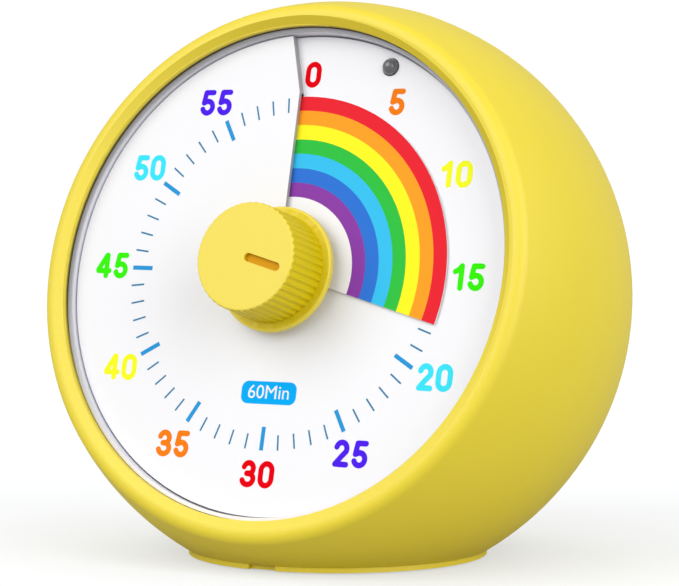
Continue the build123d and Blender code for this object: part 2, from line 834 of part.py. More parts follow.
with BuildPart() as smoothing_capacitor:
    with BuildSketch(dial.offset(board_back)):
        with Locations(capacitor_at):
            Circle(capacitor_radius)
    extrude(amount=-capacitor_height)
    fillet(smoothing_capacitor.edges().sort_by(dial_axis)[0], radius=0.4)

smoothing_capacitor.part.label = "smoothing_capacitor"
export_step(smoothing_capacitor.part, "parts/smoothing_capacitor.step")

# ---------------------------------------------------------------- gear case
case_back = ledge_front - case_depth
case_floor = case_back + case_wall
case_corner = 6.0
case_middle = ((case_left + case_right) / 2, (case_low + case_top) / 2)
case_across = case_right - case_left
case_high = case_top - case_low
bearing_length = 2.0
bearing_wall = 2.5
motor_collar = 1.2
nose_radius = 4.0

with BuildPart() as gear_case:
    with BuildSketch(dial.offset(case_back)):
        with Locations(case_middle):
            RectangleRounded(case_across + 2 * case_wall, case_high + 2 * case_wall, case_corner)
    extrude(amount=case_depth)
    with BuildSketch(dial.offset(case_floor)):
        with Locations(case_middle):
            RectangleRounded(case_across, case_high, case_corner - case_wall)
    extrude(amount=case_depth, mode=Mode.SUBTRACT)
    # screw columns, shaft bearing and motor collar
    with BuildSketch(dial.offset(case_back)):
        with Locations(*case_screws_at):
            Circle(case_boss_radius)
    extrude(amount=case_depth - case_boss - seat_gap)
    with BuildSketch(dial.offset(case_back - bearing_length)):
        Circle(journal_radius + bearing_wall)
    extrude(amount=bearing_length)
    with BuildSketch(dial.offset(case_back - bearing_length)):
        with Locations(motor_at):
            Circle(motor_radius + running + motor_collar)
            Circle(motor_radius + running, mode=Mode.SUBTRACT)
    extrude(amount=bearing_length)
    # holes
    with BuildSketch(dial.offset(case_back - bearing_length)):
        Circle(journal_radius + running)
    extrude(amount=case_depth, mode=Mode.SUBTRACT)
    with BuildSketch(dial.offset(case_back)):
        with Locations(motor_at):
            Circle(nose_radius + seat_gap)
    extrude(amount=case_wall, mode=Mode.SUBTRACT)
    with BuildSketch(dial.offset(case_back)):
        with Locations(*case_screws_at):
            Circle(screw_radius + running)
        with Locations(idler_at):
            Circle(idler_pin_radius)
    extrude(amount=case_depth, mode=Mode.SUBTRACT)

gear_case.part.label = "gear_case"
export_step(gear_case.part, "parts/gear_case.step")

# ---------------------------------------------------------------- shaft, bush, clutch and clip
bush_flange_radius = 7.0
bush_back = ledge_front - 1.5
shoulder_front = bush_back - moving_gap
shoulder_back = shoulder_front - 1
washer_thickness = 0.3
gear_front = shoulder_back - washer_thickness
gear_back = gear_front - gear_width
spring_height = 0.7
spring_sheet = 0.25
clip_thickness = 0.6
clip_radius = 5.0
clip_groove = 0.5
clip_front = gear_back - spring_height
clip_back = clip_front - clip_thickness
journal_front = clip_back - 0.3
shaft_end = knob_front - 2.5

with BuildPart() as centre_shaft:
    with BuildSketch(dial_section):
        with BuildLine():
            Polyline(
                (0, case_back - bearing_length),
                (journal_radius, case_back - bearing_length),
                (journal_radius, journal_front),
                (shaft_radius, journal_front),
                (shaft_radius, clip_back),
                (shaft_radius - clip_groove, clip_back),
                (shaft_radius - clip_groove, clip_front),
                (shaft_radius, clip_front),
                (shaft_radius, shoulder_back),
                (clutch_radius, shoulder_back),
                (clutch_radius, shoulder_front),
                (shaft_radius, shoulder_front),
                (shaft_radius, shaft_end),
                (0, shaft_end),
                close=True,
            )
        make_face()
    revolve(axis=dial_axis)
    # flat that turns the disc's hub and the knob
    with BuildSketch(clock_plane(turned, tray_top)):
        with Locations((shaft_radius, 0)):
            Rectangle(2 * shaft_flat, 2 * shaft_radius)
    extrude(amount=shaft_end - tray_top, mode=Mode.SUBTRACT)

centre_shaft.part.label = "centre_shaft"
export_step(centre_shaft.part, "parts/centre_shaft.step")

with BuildPart() as shaft_bushing:
    with BuildSketch(dial.offset(bush_back)):
        Circle(bush_flange_radius)
    extrude(amount=ledge_front - bush_back)
    with BuildSketch(dial.offset(ledge_front)):
        Circle(bush_radius)
    extrude(amount=tray_floor)
    with BuildSketch(dial.offset(bush_back)):
        Circle(shaft_radius + running)
    extrude(amount=tray_top - bush_back, mode=Mode.SUBTRACT)

shaft_bushing.part.label = "shaft_bushing"
export_step(shaft_bushing.part, "parts/shaft_bushing.step")

with BuildPart() as clutch_washer:
    with BuildSketch(dial.offset(gear_front)):
        Circle(clutch_radius)
        Circle(shaft_radius + running, mode=Mode.SUBTRACT)
    extrude(amount=washer_thickness)

clutch_washer.part.label = "clutch_washer"
export_step(clutch_washer.part, "parts/clutch_washer.step")

with BuildPart() as clutch_spring:
    with BuildSketch(dial_section):
        Polygon(
            (shaft_radius + hole_clearance, clip_front),
            (clutch_radius, gear_back - spring_sheet),
            (clutch_radius, gear_back),
            (shaft_radius + hole_clearance, clip_front + spring_sheet),
            align=None,
        )
    revolve(axis=dial_axis)

clutch_spring.part.label = "clutch_spring"
export_step(clutch_spring.part, "parts/clutch_spring.step")

with BuildPart() as retaining_clip:
    with BuildSketch(dial.offset(clip_back)):
        Circle(clip_radius)
        Circle(shaft_radius - clip_groove + running, mode=Mode.SUBTRACT)
        with Locations((0, -clip_radius)):
            Rectangle(3.6, 2 * clip_radius, mode=Mode.SUBTRACT)
    extrude(amount=clip_thickness)

retaining_clip.part.label = "retaining_clip"
export_step(retaining_clip.part, "parts/retaining_clip.step")

# ---------------------------------------------------------------- gears
pinion_phase = 180 + 180 / pinion_teeth          # a gap of the pinion faces a tooth of the wheel
wheel_back = case_floor + 0.4
wheel_front = wheel_back + wheel_width
idler_front = ledge_front - idler_boss - 2 * seat_gap

with BuildPart() as drive_gear:
    with BuildSketch(dial.offset(gear_back)):
        Polygon(*gear_profile(drive_teeth, idler_direction), align=None)
        Circle(shaft_radius + running, mode=Mode.SUBTRACT)
    extrude(amount=gear_width)

drive_gear.part.label = "drive_gear"
export_step(drive_gear.part, "parts/drive_gear.step")

with BuildPart() as idler_gear:
    with BuildSketch(dial.offset(wheel_back)):
        with Locations(idler_at):
            Polygon(*gear_profile(idler_teeth, motor_direction), align=None)
    extrude(amount=wheel_width)
    with BuildSketch(dial.offset(wheel_front)):
        with Locations(idler_at):
            Polygon(*gear_profile(pinion_teeth, idler_direction + pinion_phase), align=None)
    extrude(amount=idler_front - wheel_front)
    with BuildSketch(dial.offset(wheel_back)):
        with Locations(idler_at):
            Circle(idler_pin_radius + running)
    extrude(amount=case_depth, mode=Mode.SUBTRACT)

idler_gear.part.label = "idler_gear"
export_step(idler_gear.part, "parts/idler_gear.step")

with BuildPart() as idler_pin:
    with BuildSketch(dial.offset(case_back)):
        with Locations(idler_at):
            Circle(idler_pin_radius)
    extrude(amount=screw_end - case_back)

idler_pin.part.label = "idler_pin"
export_step(idler_pin.part, "parts/idler_pin.step")

# ---------------------------------------------------------------- motor
motor_back = case_back - motor_length
motor_sheet = 0.6
nose_height = 1.0
spindle_radius = 0.75
pinion_front = wheel_front + 1.5
magnet_radius = 5.0
magnet_end = 1.0           # magnet inside each end of the can
coil_inner = 5.6

with BuildPart() as motor_case:
    with BuildSketch(dial.offset(motor_back)):
        with Locations(motor_at):
            Circle(motor_radius)
    extrude(amount=motor_length)
    with BuildSketch(dial.offset(motor_back + motor_sheet)):
        with Locations(motor_at):
            Circle(motor_radius - motor_sheet)
    extrude(amount=motor_length - 2 * motor_sheet, mode=Mode.SUBTRACT)
    with BuildSketch(dial.offset(case_back - motor_sheet)):
        with Locations(motor_at):
            Circle(nose_radius)
    extrude(amount=motor_sheet + nose_height)
    with BuildSketch(dial.offset(motor_back)):
        with Locations(motor_at):
            Circle(spindle_radius + running)
    extrude(amount=motor_length + nose_height, mode=Mode.SUBTRACT)

motor_case.part.label = "motor_case"
export_step(motor_case.part, "parts/motor_case.step")

with BuildPart() as motor_coil:
    with BuildSketch(dial.offset(motor_back + motor_sheet)):
        with Locations(motor_at):
            Circle(motor_radius - motor_sheet - running)
            Circle(coil_inner, mode=Mode.SUBTRACT)
    extrude(amount=motor_length - 2 * motor_sheet - seat_gap)

motor_coil.part.label = "motor_coil"
export_step(motor_coil.part, "parts/motor_coil.step")

with BuildPart() as motor_rotor:
    with BuildSketch(dial.offset(motor_back + motor_sheet + magnet_end)):
        with Locations(motor_at):
            Circle(magnet_radius)
    extrude(amount=motor_length - 2 * motor_sheet - 2 * magnet_end)
    with BuildSketch(dial.offset(motor_back)):
        with Locations(motor_at):
            Circle(spindle_radius)
    extrude(amount=pinion_front - motor_back)

motor_rotor.part.label = "motor_rotor"
export_step(motor_rotor.part, "parts/motor_rotor.step")

with BuildPart() as motor_pinion:
    with BuildSketch(dial.offset(wheel_back)):
        with Locations(motor_at):
            Polygon(*gear_profile(pinion_teeth, motor_direction + pinion_phase), align=None)
            Circle(spindle_radius, mode=Mode.SUBTRACT)
    extrude(amount=pinion_front - wheel_back)

motor_pinion.part.label = "motor_pinion"
export_step(motor_pinion.part, "parts/motor_pinion.step")

# ---------------------------------------------------------------- knob and its pointer
cavity_radius = 7.2
socket_radius = 5.0
face_round = 0.35
pointer_middle = (pointer_length / 2 - 0.1, 0)
pointer_play = 0.03

with BuildPart() as knob:
    with BuildSketch(dial_section):
        Polygon(
            (0, knob_back),
            (flange_radius, knob_back),
            (flange_radius, grip_back),
            (grip_back_radius, grip_back),
            (grip_front_radius, knob_front),
            (0, knob_front),
            align=None,
        )
    revolve(axis=dial_axis)
    rounded_edges = knob.edges().filter_by(GeomType.CIRCLE).filter_by(
        lambda edge: abs(edge.radius - grip_front_radius) < 0.01
        or abs(edge.radius - flange_radius) < 0.01
    ).sort_by(dial_axis)[1:]
    fillet(rounded_edges, radius=face_round)
    # flutes of the grip
    with BuildSketch(dial.offset(grip_back)):
        with PolarLocations(grip_back_radius + flute_radius - flute_depth, flute_count):
            Circle(flute_radius)
    extrude(amount=knob_front - grip_back, mode=Mode.SUBTRACT)
    # hollow back with the socket for the shaft
    with BuildSketch(dial.offset(knob_back)):
        Circle(cavity_radius)
        Circle(socket_radius, mode=Mode.SUBTRACT)
    extrude(amount=knob_height - knob_skin, mode=Mode.SUBTRACT)
    with BuildSketch(clock_plane(turned, knob_back)):
        Circle(shaft_radius + running)
        with Locations((shaft_radius + running, 0)):
            Rectangle(2 * shaft_flat, 2 * shaft_radius + 1, mode=Mode.SUBTRACT)
    extrude(amount=shaft_end + seat_gap - knob_back, mode=Mode.SUBTRACT)
    with BuildSketch(clock_plane(turned, knob_front)):
        with Locations(pointer_middle):
            SlotOverall(pointer_length, pointer_width)
    extrude(amount=-pointer_recess - pointer_thickness, mode=Mode.SUBTRACT)

knob.part.label = "knob"
export_step(knob.part, "parts/knob.step")

with BuildPart() as knob_pointer:
    with BuildSketch(clock_plane(turned, knob_front - pointer_recess)):
        with Locations(pointer_middle):
            SlotOverall(pointer_length - 2 * pointer_play, pointer_width - 2 * pointer_play)
    extrude(amount=-pointer_thickness)

knob_pointer.part.label = "knob_pointer"
export_step(knob_pointer.part, "parts/knob_pointer.step")

# ---------------------------------------------------------------- stop button, its switch and board
button_skin = 1.6
stem_radius = 2.0
switch_side = 6.0
plunger_radius = 1.6
plunger_foot = 0.7
board_past_screw = 3.5
board_width = 12.0

with BuildPart() as stop_button:
    with BuildSketch(crown_plane(button_bottom)):
        Ellipse(button_length / 2, button_width / 2)
    extrude(amount=ball_radius)
    with Locations(centre):
        Sphere(ball_radius + button_proud, mode=Mode.INTERSECT)
    fillet(stop_button.faces().sort_by(Axis.Z)[-1].edges(), radius=face_round)
    with BuildSketch(crown_plane(button_bottom)):
        Ellipse(
            button_length / 2 + moving_gap + flange_reach, button_width / 2 + moving_gap + flange_reach
        )
    extrude(amount=button_flange)
    # hollow underside with the stem that presses the switch
    with BuildSketch(crown_plane(button_bottom)):
        Ellipse(button_length / 2 - button_skin, button_width / 2 - button_skin)
    extrude(amount=2 * button_flange, mode=Mode.SUBTRACT)
    with BuildSketch(crown_plane(stem_bottom)):
        Circle(stem_radius)
    extrude(amount=button_stem + 3 * button_flange)

stop_button.part.label = "stop_button"
export_step(stop_button.part, "parts/stop_button.step")

with BuildPart() as button_board:
    with BuildSketch(crown_plane(button_board_top)):
        Rectangle(2 * (button_screws_at[0][0] + board_past_screw), board_width)
        with Locations(*button_screws_at):
            Circle(screw_radius + hole_clearance, mode=Mode.SUBTRACT)
    extrude(amount=-board_thickness)

button_board.part.label = "button_board"
export_step(button_board.part, "parts/button_board.step")

with BuildPart() as button_switch:
    with BuildSketch(crown_plane(button_board_top)):
        Rectangle(switch_side, switch_side)
    extrude(amount=switch_height)
    with BuildSketch(crown_plane(button_board_top + switch_height)):
        Circle(plunger_radius + seat_gap)
    extrude(amount=-plunger_foot - button_travel - seat_gap, mode=Mode.SUBTRACT)

button_switch.part.label = "button_switch"
export_step(button_switch.part, "parts/button_switch.step")

with BuildPart() as switch_plunger:
    with BuildSketch(crown_plane(stem_bottom)):
        Circle(plunger_radius)
    extrude(amount=-plunger_height - plunger_foot)

switch_plunger.part.label = "switch_plunger"
export_step(switch_plunger.part, "parts/switch_plunger.step")

# ---------------------------------------------------------------- battery, contacts and door
cell_behind = bay_floor + bay_height / 2
cell_left = -bay_length / 2 + seat_gap + contact_sheet + spring_length
nub_radius = 2.7
nub_length = 1.2
cell_edge = 0.5
contact_side = 12.0
wire_radius = 0.35
coil_radius = 3.2
coil_turns = 3
coil_root = 0.15           # first turn sunk into its plate
coil_length = spring_length - 2 * wire_radius + coil_root
cell_plane = Plane(
    origin=(cell_left, cell_behind, centre_height - bay_drop), x_dir=(0, 1, 0), z_dir=(1, 0, 0)
)
coil_path = cell_plane.offset(-wire_radius - coil_length).from_local_coords(
    Helix(pitch=coil_length / coil_turns, height=coil_length, radius=coil_radius)
)

with BuildPart() as battery_cell:
    with BuildSketch(cell_plane):
        Circle(cell_radius)
    extrude(amount=cell_length - nub_length)
    fillet(battery_cell.edges().filter_by(GeomType.CIRCLE), radius=cell_edge)
    with BuildSketch(cell_plane.offset(cell_length - nub_length)):
        Circle(nub_radius)
    extrude(amount=nub_length)

battery_cell.part.label = "battery_cell"
export_step(battery_cell.part, "parts/battery_cell.step")

with BuildPart() as contact_plate:
    with BuildSketch(cell_plane.offset(cell_length)):
        Rectangle(contact_side, contact_side)
    extrude(amount=contact_sheet)

contact_plate.part.label = "contact_plate"
export_step(contact_plate.part, "parts/contact_plate.step")

with BuildPart() as contact_spring:
    with BuildSketch(Plane(origin=coil_path @ 0, x_dir=cell_plane.z_dir, z_dir=coil_path % 0)):
        RegularPolygon(wire_radius, 6)
    sweep(path=coil_path, is_frenet=True)
    with BuildSketch(cell_plane.offset(-spring_length)):
        Rectangle(contact_side, contact_side)
    extrude(amount=-contact_sheet)

contact_spring.part.label = "contact_spring"
export_step(contact_spring.part, "parts/contact_spring.step")

door_inner = back_flat - door_thickness
door_corner = 0.8
rib_length = 9.0
rib_pitch = 1.4
rib_width = 0.6
rib_depth = 0.4

with BuildPart() as battery_door:
    with BuildSketch(rear.offset(door_inner)):
        with Locations((0, -bay_drop)):
            RectangleRounded(door_length, door_height, door_corner)
    extrude(amount=door_thickness)
    # two hooks below the lower edge: a root and a toe each
    with BuildSketch(rear.offset(door_inner)):
        for across in (-hook_across, hook_across):
            with Locations((across, door_low + moving_gap + hook_root / 2)):
                Rectangle(hook_width, hook_root)
    extrude(amount=-hook_behind - hook_thickness)
    with BuildSketch(rear.offset(door_inner - hook_behind)):
        for across in (-hook_across, hook_across):
            with Locations((across, door_low)):
                Rectangle(hook_width, 2 * hook_drop)
    extrude(amount=-hook_thickness)
    with BuildSketch(rear.offset(back_flat)):
        with Locations((0, door_low + door_height - 2 * rib_pitch)):
            with GridLocations(0, rib_pitch, 1, 3):
                Rectangle(rib_length, rib_width)
    extrude(amount=-rib_depth, mode=Mode.SUBTRACT)

battery_door.part.label = "battery_door"
export_step(battery_door.part, "parts/battery_door.step")

# ---------------------------------------------------------------- buzzer and volume switch
port_radius = 1.2
port_depth = 1.0
slider_lift = 0.15         # slider above the floor of its pocket
slider_height = 1.5
slider_groove = 0.6
stem_length = 4.0
ear_length = 17.0
ear_thickness = 0.6
switch_length = 11.0
switch_width = 5.0
switch_depth = 4.0

with BuildPart() as buzzer:
    with BuildSketch(rear.offset(buzzer_back)):
        with Locations((0, buzzer_up)):
            Circle(buzzer_radius)
    extrude(amount=-buzzer_height)
    with BuildSketch(rear.offset(buzzer_back)):
        with Locations((0, buzzer_up)):
            Circle(port_radius)
    extrude(amount=-port_depth, mode=Mode.SUBTRACT)

buzzer.part.label = "buzzer"
export_step(buzzer.part, "parts/buzzer.step")

with BuildPart() as volume_slider:
    with BuildSketch(rear.offset(slider_floor + slider_lift)):
        with Locations((0, -slider_drop)):
            RectangleRounded(slider_length, slider_width, 0.8)
    extrude(amount=slider_height)
    with BuildSketch(rear.offset(slider_floor + slider_lift + slider_height)):
        with Locations((0, -slider_drop)):
            with GridLocations(1.4, 0, 3, 1):
                Rectangle(slider_groove, slider_width)
    extrude(amount=-slider_groove, mode=Mode.SUBTRACT)
    with BuildSketch(rear.offset(slider_floor + slider_lift)):
        with Locations((0, -slider_drop)):
            Rectangle(stem_across, stem_wide)
    extrude(amount=-stem_length)

volume_slider.part.label = "volume_slider"
export_step(volume_slider.part, "parts/volume_slider.step")

with BuildPart() as slide_switch:
    with BuildSketch(rear.offset(slider_pad)):
        with Locations((0, -slider_drop)):
            Rectangle(ear_length, switch_width)
    extrude(amount=-ear_thickness)
    with BuildSketch(rear.offset(slider_pad)):
        with Locations((0, -slider_drop)):
            Rectangle(switch_length, switch_width)
    extrude(amount=-switch_depth)
    with BuildSketch(rear.offset(slider_pad)):
        with Locations((0, -slider_drop)):
            Rectangle(stem_across + 2 * slider_end - seat_gap, stem_wide + 2 * moving_gap)
    extrude(amount=-stem_length + 1, mode=Mode.SUBTRACT)

slide_switch.part.label = "slide_switch"
export_step(slide_switch.part, "parts/slide_switch.step")

# ---------------------------------------------------------------- screws
cross_length = 3.0
cross_width = 0.6
cross_depth = 0.8

with BuildPart() as cover_screws:
    with BuildSketch(rear.offset(screw_seat)):
        with Locations(*cover_screws_at):
            Circle(cover_head_radius)
    extrude(amount=cover_head_height)
    with BuildSketch(rear.offset(screw_seat)):
        with Locations(*cover_screws_at):
            Circle(cover_screw_radius)
    extrude(amount=screw_tip + seat_gap - screw_seat)
    with BuildSketch(rear.offset(screw_seat + cover_head_height)):
        with Locations(*cover_screws_at):
            Rectangle(cross_length, cross_width)
            Rectangle(cross_width, cross_length)
    extrude(amount=-cross_depth, mode=Mode.SUBTRACT)

cover_screws.part.label = "cover_screws"
export_step(cover_screws.part, "parts/cover_screws.step")

with BuildPart() as tray_screws:
    add(screw_group(dial.offset(ledge_back), tray_screws_at, screw_end - ledge_back))
    with BuildSketch(dial.offset(ledge_back)):
        with Locations(*tray_screws_at):
            Circle(tray_head_radius)
    extrude(amount=-head_height / 2)

tray_screws.part.label = "tray_screws"
export_step(tray_screws.part, "parts/tray_screws.step")

with BuildPart() as case_screws:
    add(screw_group(dial.offset(case_back), case_screws_at, screw_end - case_back))

case_screws.part.label = "case_screws"
export_step(case_screws.part, "parts/case_screws.step")

with BuildPart() as board_screws:
    add(screw_group(dial.offset(board_back), board_screws_at, screw_end - board_back))

board_screws.part.label = "board_screws"
export_step(board_screws.part, "parts/board_screws.step")

with BuildPart() as button_board_screws:
    button_seat = crown_plane(button_board_top - board_thickness)
    add(screw_group(button_seat, button_screws_at, board_thickness + button_screw_grip))

button_board_screws.part.label = "button_board_screws"
export_step(button_board_screws.part, "parts/button_board_screws.step")
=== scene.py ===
# %% [markdown]
# # A visual countdown timer
# The object is a ball of 100 mm on a flat foot. A tilted opening in its front shows a white dial
# with the minutes, and a knob in the middle turns a rainbow-coloured disc out through a slit in
# the dial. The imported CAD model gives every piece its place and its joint. This script gives the
# pieces their finishes, adds what is printed on them, and sets up a small white studio.

# %% Load the frame and keep its size
import math

import bmesh
import bpy
import numpy as np
from mathutils import Matrix, Vector


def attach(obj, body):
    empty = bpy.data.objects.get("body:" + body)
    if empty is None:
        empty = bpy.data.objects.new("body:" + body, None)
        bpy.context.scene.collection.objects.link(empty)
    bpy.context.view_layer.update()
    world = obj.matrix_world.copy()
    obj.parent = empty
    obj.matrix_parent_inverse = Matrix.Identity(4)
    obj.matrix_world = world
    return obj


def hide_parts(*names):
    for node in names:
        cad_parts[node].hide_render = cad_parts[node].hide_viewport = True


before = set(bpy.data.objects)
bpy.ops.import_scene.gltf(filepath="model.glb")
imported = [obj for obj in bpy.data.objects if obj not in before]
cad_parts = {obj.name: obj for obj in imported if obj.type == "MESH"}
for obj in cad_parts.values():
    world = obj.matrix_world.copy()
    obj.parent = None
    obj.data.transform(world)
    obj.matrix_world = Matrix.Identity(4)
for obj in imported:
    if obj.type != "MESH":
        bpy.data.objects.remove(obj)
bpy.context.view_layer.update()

# %% [markdown]
# ## The dial's plane
# The dial leans back by 13.9 degrees, so most pieces are easier to describe in the dial's own
# plane: x to the right, y up the dial, z out of it towards the eye. A tilted empty could be the
# parent of such pieces, but a matrix needs no extra object. It turns points written in millimetres
# into the metres that Blender uses.

# %% Millimetres and the dial's plane
MM = 0.001
CENTRE = Vector((0, 0, 0.044))   # middle of the ball
TILT = math.radians(13.9)
RIGHT = Vector((1, 0, 0))
DIAL_OUT = Vector((0, -math.cos(TILT), math.sin(TILT)))
DIAL_UP = Vector((0, math.sin(TILT), math.cos(TILT)))

dial_axes = Matrix((RIGHT, DIAL_UP, DIAL_OUT)).transposed().to_4x4()
DIAL = Matrix.Translation(CENTRE) @ dial_axes @ Matrix.Scale(MM, 4)
print("dial looks along", [round(c, 3) for c in DIAL_OUT])

# %% [markdown]
# ## Camera
# A short lens close by would draw the ball as an egg. A long one from a little above the table
# keeps it round, with almost no perspective. The camera could be aimed with a constraint, but one
# direction gives both its turn and its place, a fixed distance from the ball's centre. Two small
# shifts, in metres, put the ball where it belongs in the frame.

# %% Camera
AZIMUTH = math.radians(29.2)
ELEVATION = math.radians(2.4)
DISTANCE = 0.439
SHIFT_RIGHT = 0.00027
SHIFT_UP = 0.00051

back = Vector((
    math.sin(AZIMUTH) * math.cos(ELEVATION),
    -math.cos(AZIMUTH) * math.cos(ELEVATION),
    math.sin(ELEVATION),
))
right = Vector((math.cos(AZIMUTH), math.sin(AZIMUTH), 0))
up = back.cross(right)
lens = bpy.data.cameras.new("camera")
lens.lens = 136.3
lens.sensor_width = 36
lens.clip_start = 0.01
camera = bpy.data.objects.new("camera", lens)
bpy.context.scene.collection.objects.link(camera)
camera.location = CENTRE + back * DISTANCE + right * SHIFT_RIGHT + up * SHIFT_UP
camera.rotation_euler = back.to_track_quat("Z", "Y").to_euler()
bpy.context.scene.camera = camera
print("camera at", [round(c, 3) for c in camera.location])

# %% [markdown]
# ## Colours and nodes
# Colours are written as sRGB hex values, as a paint programme shows them. Blender mixes light in
# linear values, so one function converts them. A second one adds a node with its settings and its
# links in one call, which keeps the materials below short enough to read.


# %% Colour and node helpers
def srgb(code):
    """Linear RGBA of a colour written as #RRGGBB."""
    channels = [int(code[i : i + 2], 16) / 255 for i in (1, 3, 5)]
    return [c / 12.92 if c <= 0.04045 else ((c + 0.055) / 1.055) ** 2.4 for c in channels] + [1.0]


def add(material, kind, settings=None, **inputs):
    """Adds a node with its attributes in settings.

    Each input is a value or a (node, output) link. It is named for its socket, with _ for a
    space, or _N for the socket with that number.
    """
    node = material.node_tree.nodes.new(kind)
    for key, value in (settings or {}).items():
        setattr(node, key, value)
    for key, value in inputs.items():
        socket = node.inputs[int(key[1:]) if key[0] == "_" else key.replace("_", " ")]
        if isinstance(value, tuple) and isinstance(value[0], bpy.types.Node):
            material.node_tree.links.new(value[0].outputs[value[1]], socket)
        else:
            socket.default_value = value
    return node


def blank(name):
    """New material with an empty node tree."""
    material = bpy.data.materials.new(name)
    material.use_nodes = True
    material.node_tree.nodes.clear()
    return material


# %% [markdown]
# ## Moulded plastic
# Most of the object is injection-moulded plastic. Its mould was spark-eroded, which leaves a fine
# even grain that softens reflections. The real grain is about 0.1 mm, too fine to show from here,
# so it is drawn at 0.3 mm. A second, much wider noise lets the colour vary a little, as the
# thickness of a real moulding does. One flat colour would be simpler, but on a ball of this size
# it looks painted.

# %% Moulded plastic
THICKNESS_SPOTS = 25.0       # size of the areas in which a moulding's tone varies, in mm
PLASTIC_IOR = 1.53
PLASTIC_GLOSS_SPREAD = 0.05


def moulded(name, colour, deep, roughness=0.45, grain=0.3, depth=0.004, coat=0.0, shine=0.5):
    """Spark-eroded plastic: colour and deep are its two tones, grain and depth are in mm."""
    material = blank(name)
    place = add(material, "ShaderNodeTexCoord")
    wide = add(
        material,
        "ShaderNodeTexNoise",
        Vector=(place, "Object"),
        Scale=1 / (THICKNESS_SPOTS * MM),
        Detail=2.0,
    )
    fine = add(
        material, "ShaderNodeTexNoise", Vector=(place, "Object"), Scale=1 / (grain * MM), Detail=3.0
    )
    tone = add(
        material,
        "ShaderNodeMix",
        {"data_type": "RGBA"},
        Factor=(wide, "Fac"),
        _6=srgb(colour),
        _7=srgb(deep),
    )
    gloss = add(
        material,
        "ShaderNodeMapRange",
        Value=(fine, "Fac"),
        To_Min=roughness - PLASTIC_GLOSS_SPREAD,
        To_Max=roughness + PLASTIC_GLOSS_SPREAD,
    )
    bump = add(
        material, "ShaderNodeBump", Height=(fine, "Fac"), Strength=1.0, Distance=depth * MM
    )
    surface = add(
        material,
        "ShaderNodeBsdfPrincipled",
        Base_Color=(tone, "Result"),
        Roughness=(gloss, "Result"),
        Normal=(bump, "Normal"),
        IOR=PLASTIC_IOR,
        Specular_IOR_Level=shine,
        Coat_Weight=coat,
    )
    add(material, "ShaderNodeOutputMaterial", Surface=(surface, "BSDF"))
    return material


# %% [markdown]
# ## Screen ink
# The dial and the disc are screen-printed. The ink is opaque and matt, so it hardly mirrors
# anything and its colour stays pure. The mesh of the screen leaves a faint weave in it. All of
# the print could be one image, but an ink for each colour keeps its edges sharp from near by.


# %% Screen ink
def screen_ink(name, colour, shine=0.12):
    """Opaque matt printing ink of one colour."""
    return moulded(name, colour, colour, 0.6, grain=0.15, depth=0.001, shine=shine)


# %% [markdown]
# ## Metals
# Springs, screws, cans and bushes are bare metal. What the eye reads is the direction of the
# last tool: drawn and turned parts have fine lines, plated parts are almost even. An anisotropic
# shader could draw those lines, but it needs tangents on every mesh. A noise that is stretched
# along one axis works on the CAD meshes as they are.

# %% Metals
STREAK_STRETCH = (0.15, 1.0, 1.0)
METAL_GLOSS_SPREAD = 0.08


def bare_metal(name, colour, roughness, lines=0.2, depth=0.002):
    """Turned, drawn or plated metal, with fine streaks of the given spacing in mm."""
    material = blank(name)
    place = add(material, "ShaderNodeTexCoord")
    long = add(
        material, "ShaderNodeMapping", Vector=(place, "Object"), Scale=STREAK_STRETCH
    )
    streaks = add(
        material, "ShaderNodeTexNoise", Vector=(long, "Vector"), Scale=1 / (lines * MM), Detail=2.0
    )
    gloss = add(
        material,
        "ShaderNodeMapRange",
        Value=(streaks, "Fac"),
        To_Min=roughness - METAL_GLOSS_SPREAD,
        To_Max=roughness + METAL_GLOSS_SPREAD,
    )
    bump = add(
        material, "ShaderNodeBump", Height=(streaks, "Fac"), Strength=1.0, Distance=depth * MM
    )
    surface = add(
        material,
        "ShaderNodeBsdfPrincipled",
        Base_Color=srgb(colour),
        Metallic=1.0,
        Roughness=(gloss, "Result"),
        Normal=(bump, "Normal"),
    )
    add(material, "ShaderNodeOutputMaterial", Surface=(surface, "BSDF"))
    return material


# %% [markdown]
# ## Tones that follow the dial
# Some mouldings don't look the same all over, where light and shade fall on them, and here that
# shade is painted into their colour. Their faces could be painted, or given a second material each,
# but the CAD meshes stay as they are. So a few materials below ask how far a point lies from the
# ball's centre along the dial's directions. A mask is a value that is 1 where a second tone belongs
# and 0 elsewhere. It is the product of its parts: bands, each a value with the lowest and highest
# it may be, and shares that fade from 0 to 1.


# %% Where a point lies on the dial
def on_dial(material, *directions):
    """Links to a point's offset from the ball's centre and its part along each direction, in mm."""
    place = add(material, "ShaderNodeTexCoord")
    offset = add(
        material,
        "ShaderNodeMapping",
        {"vector_type": "POINT"},
        Vector=(place, "Object"),
        Location=tuple(-CENTRE / MM),
        Scale=(1 / MM,) * 3,
    )
    parts = [
        add(
            material,
            "ShaderNodeVectorMath",
            {"operation": "DOT_PRODUCT"},
            _0=(offset, "Vector"),
            _1=tuple(direction),
        )
        for direction in directions
    ]
    return [(offset, "Vector")] + [(part, "Value") for part in parts]


def mask(material, bands, shares=()):
    """1 where every value lies in its band, times the shares."""
    parts = [
        add(
            material,
            "ShaderNodeMath",
            {"operation": "COMPARE"},
            _0=value,
            _1=(low + high) / 2,
            _2=(high - low) / 2,
        )
        for value, low, high in bands
    ]
    whole = parts[0]
    for part in parts[1:] + list(shares):
        whole = add(
            material, "ShaderNodeMath", {"operation": "MULTIPLY"}, _0=(whole, 0), _1=(part, 0)
        )
    return whole


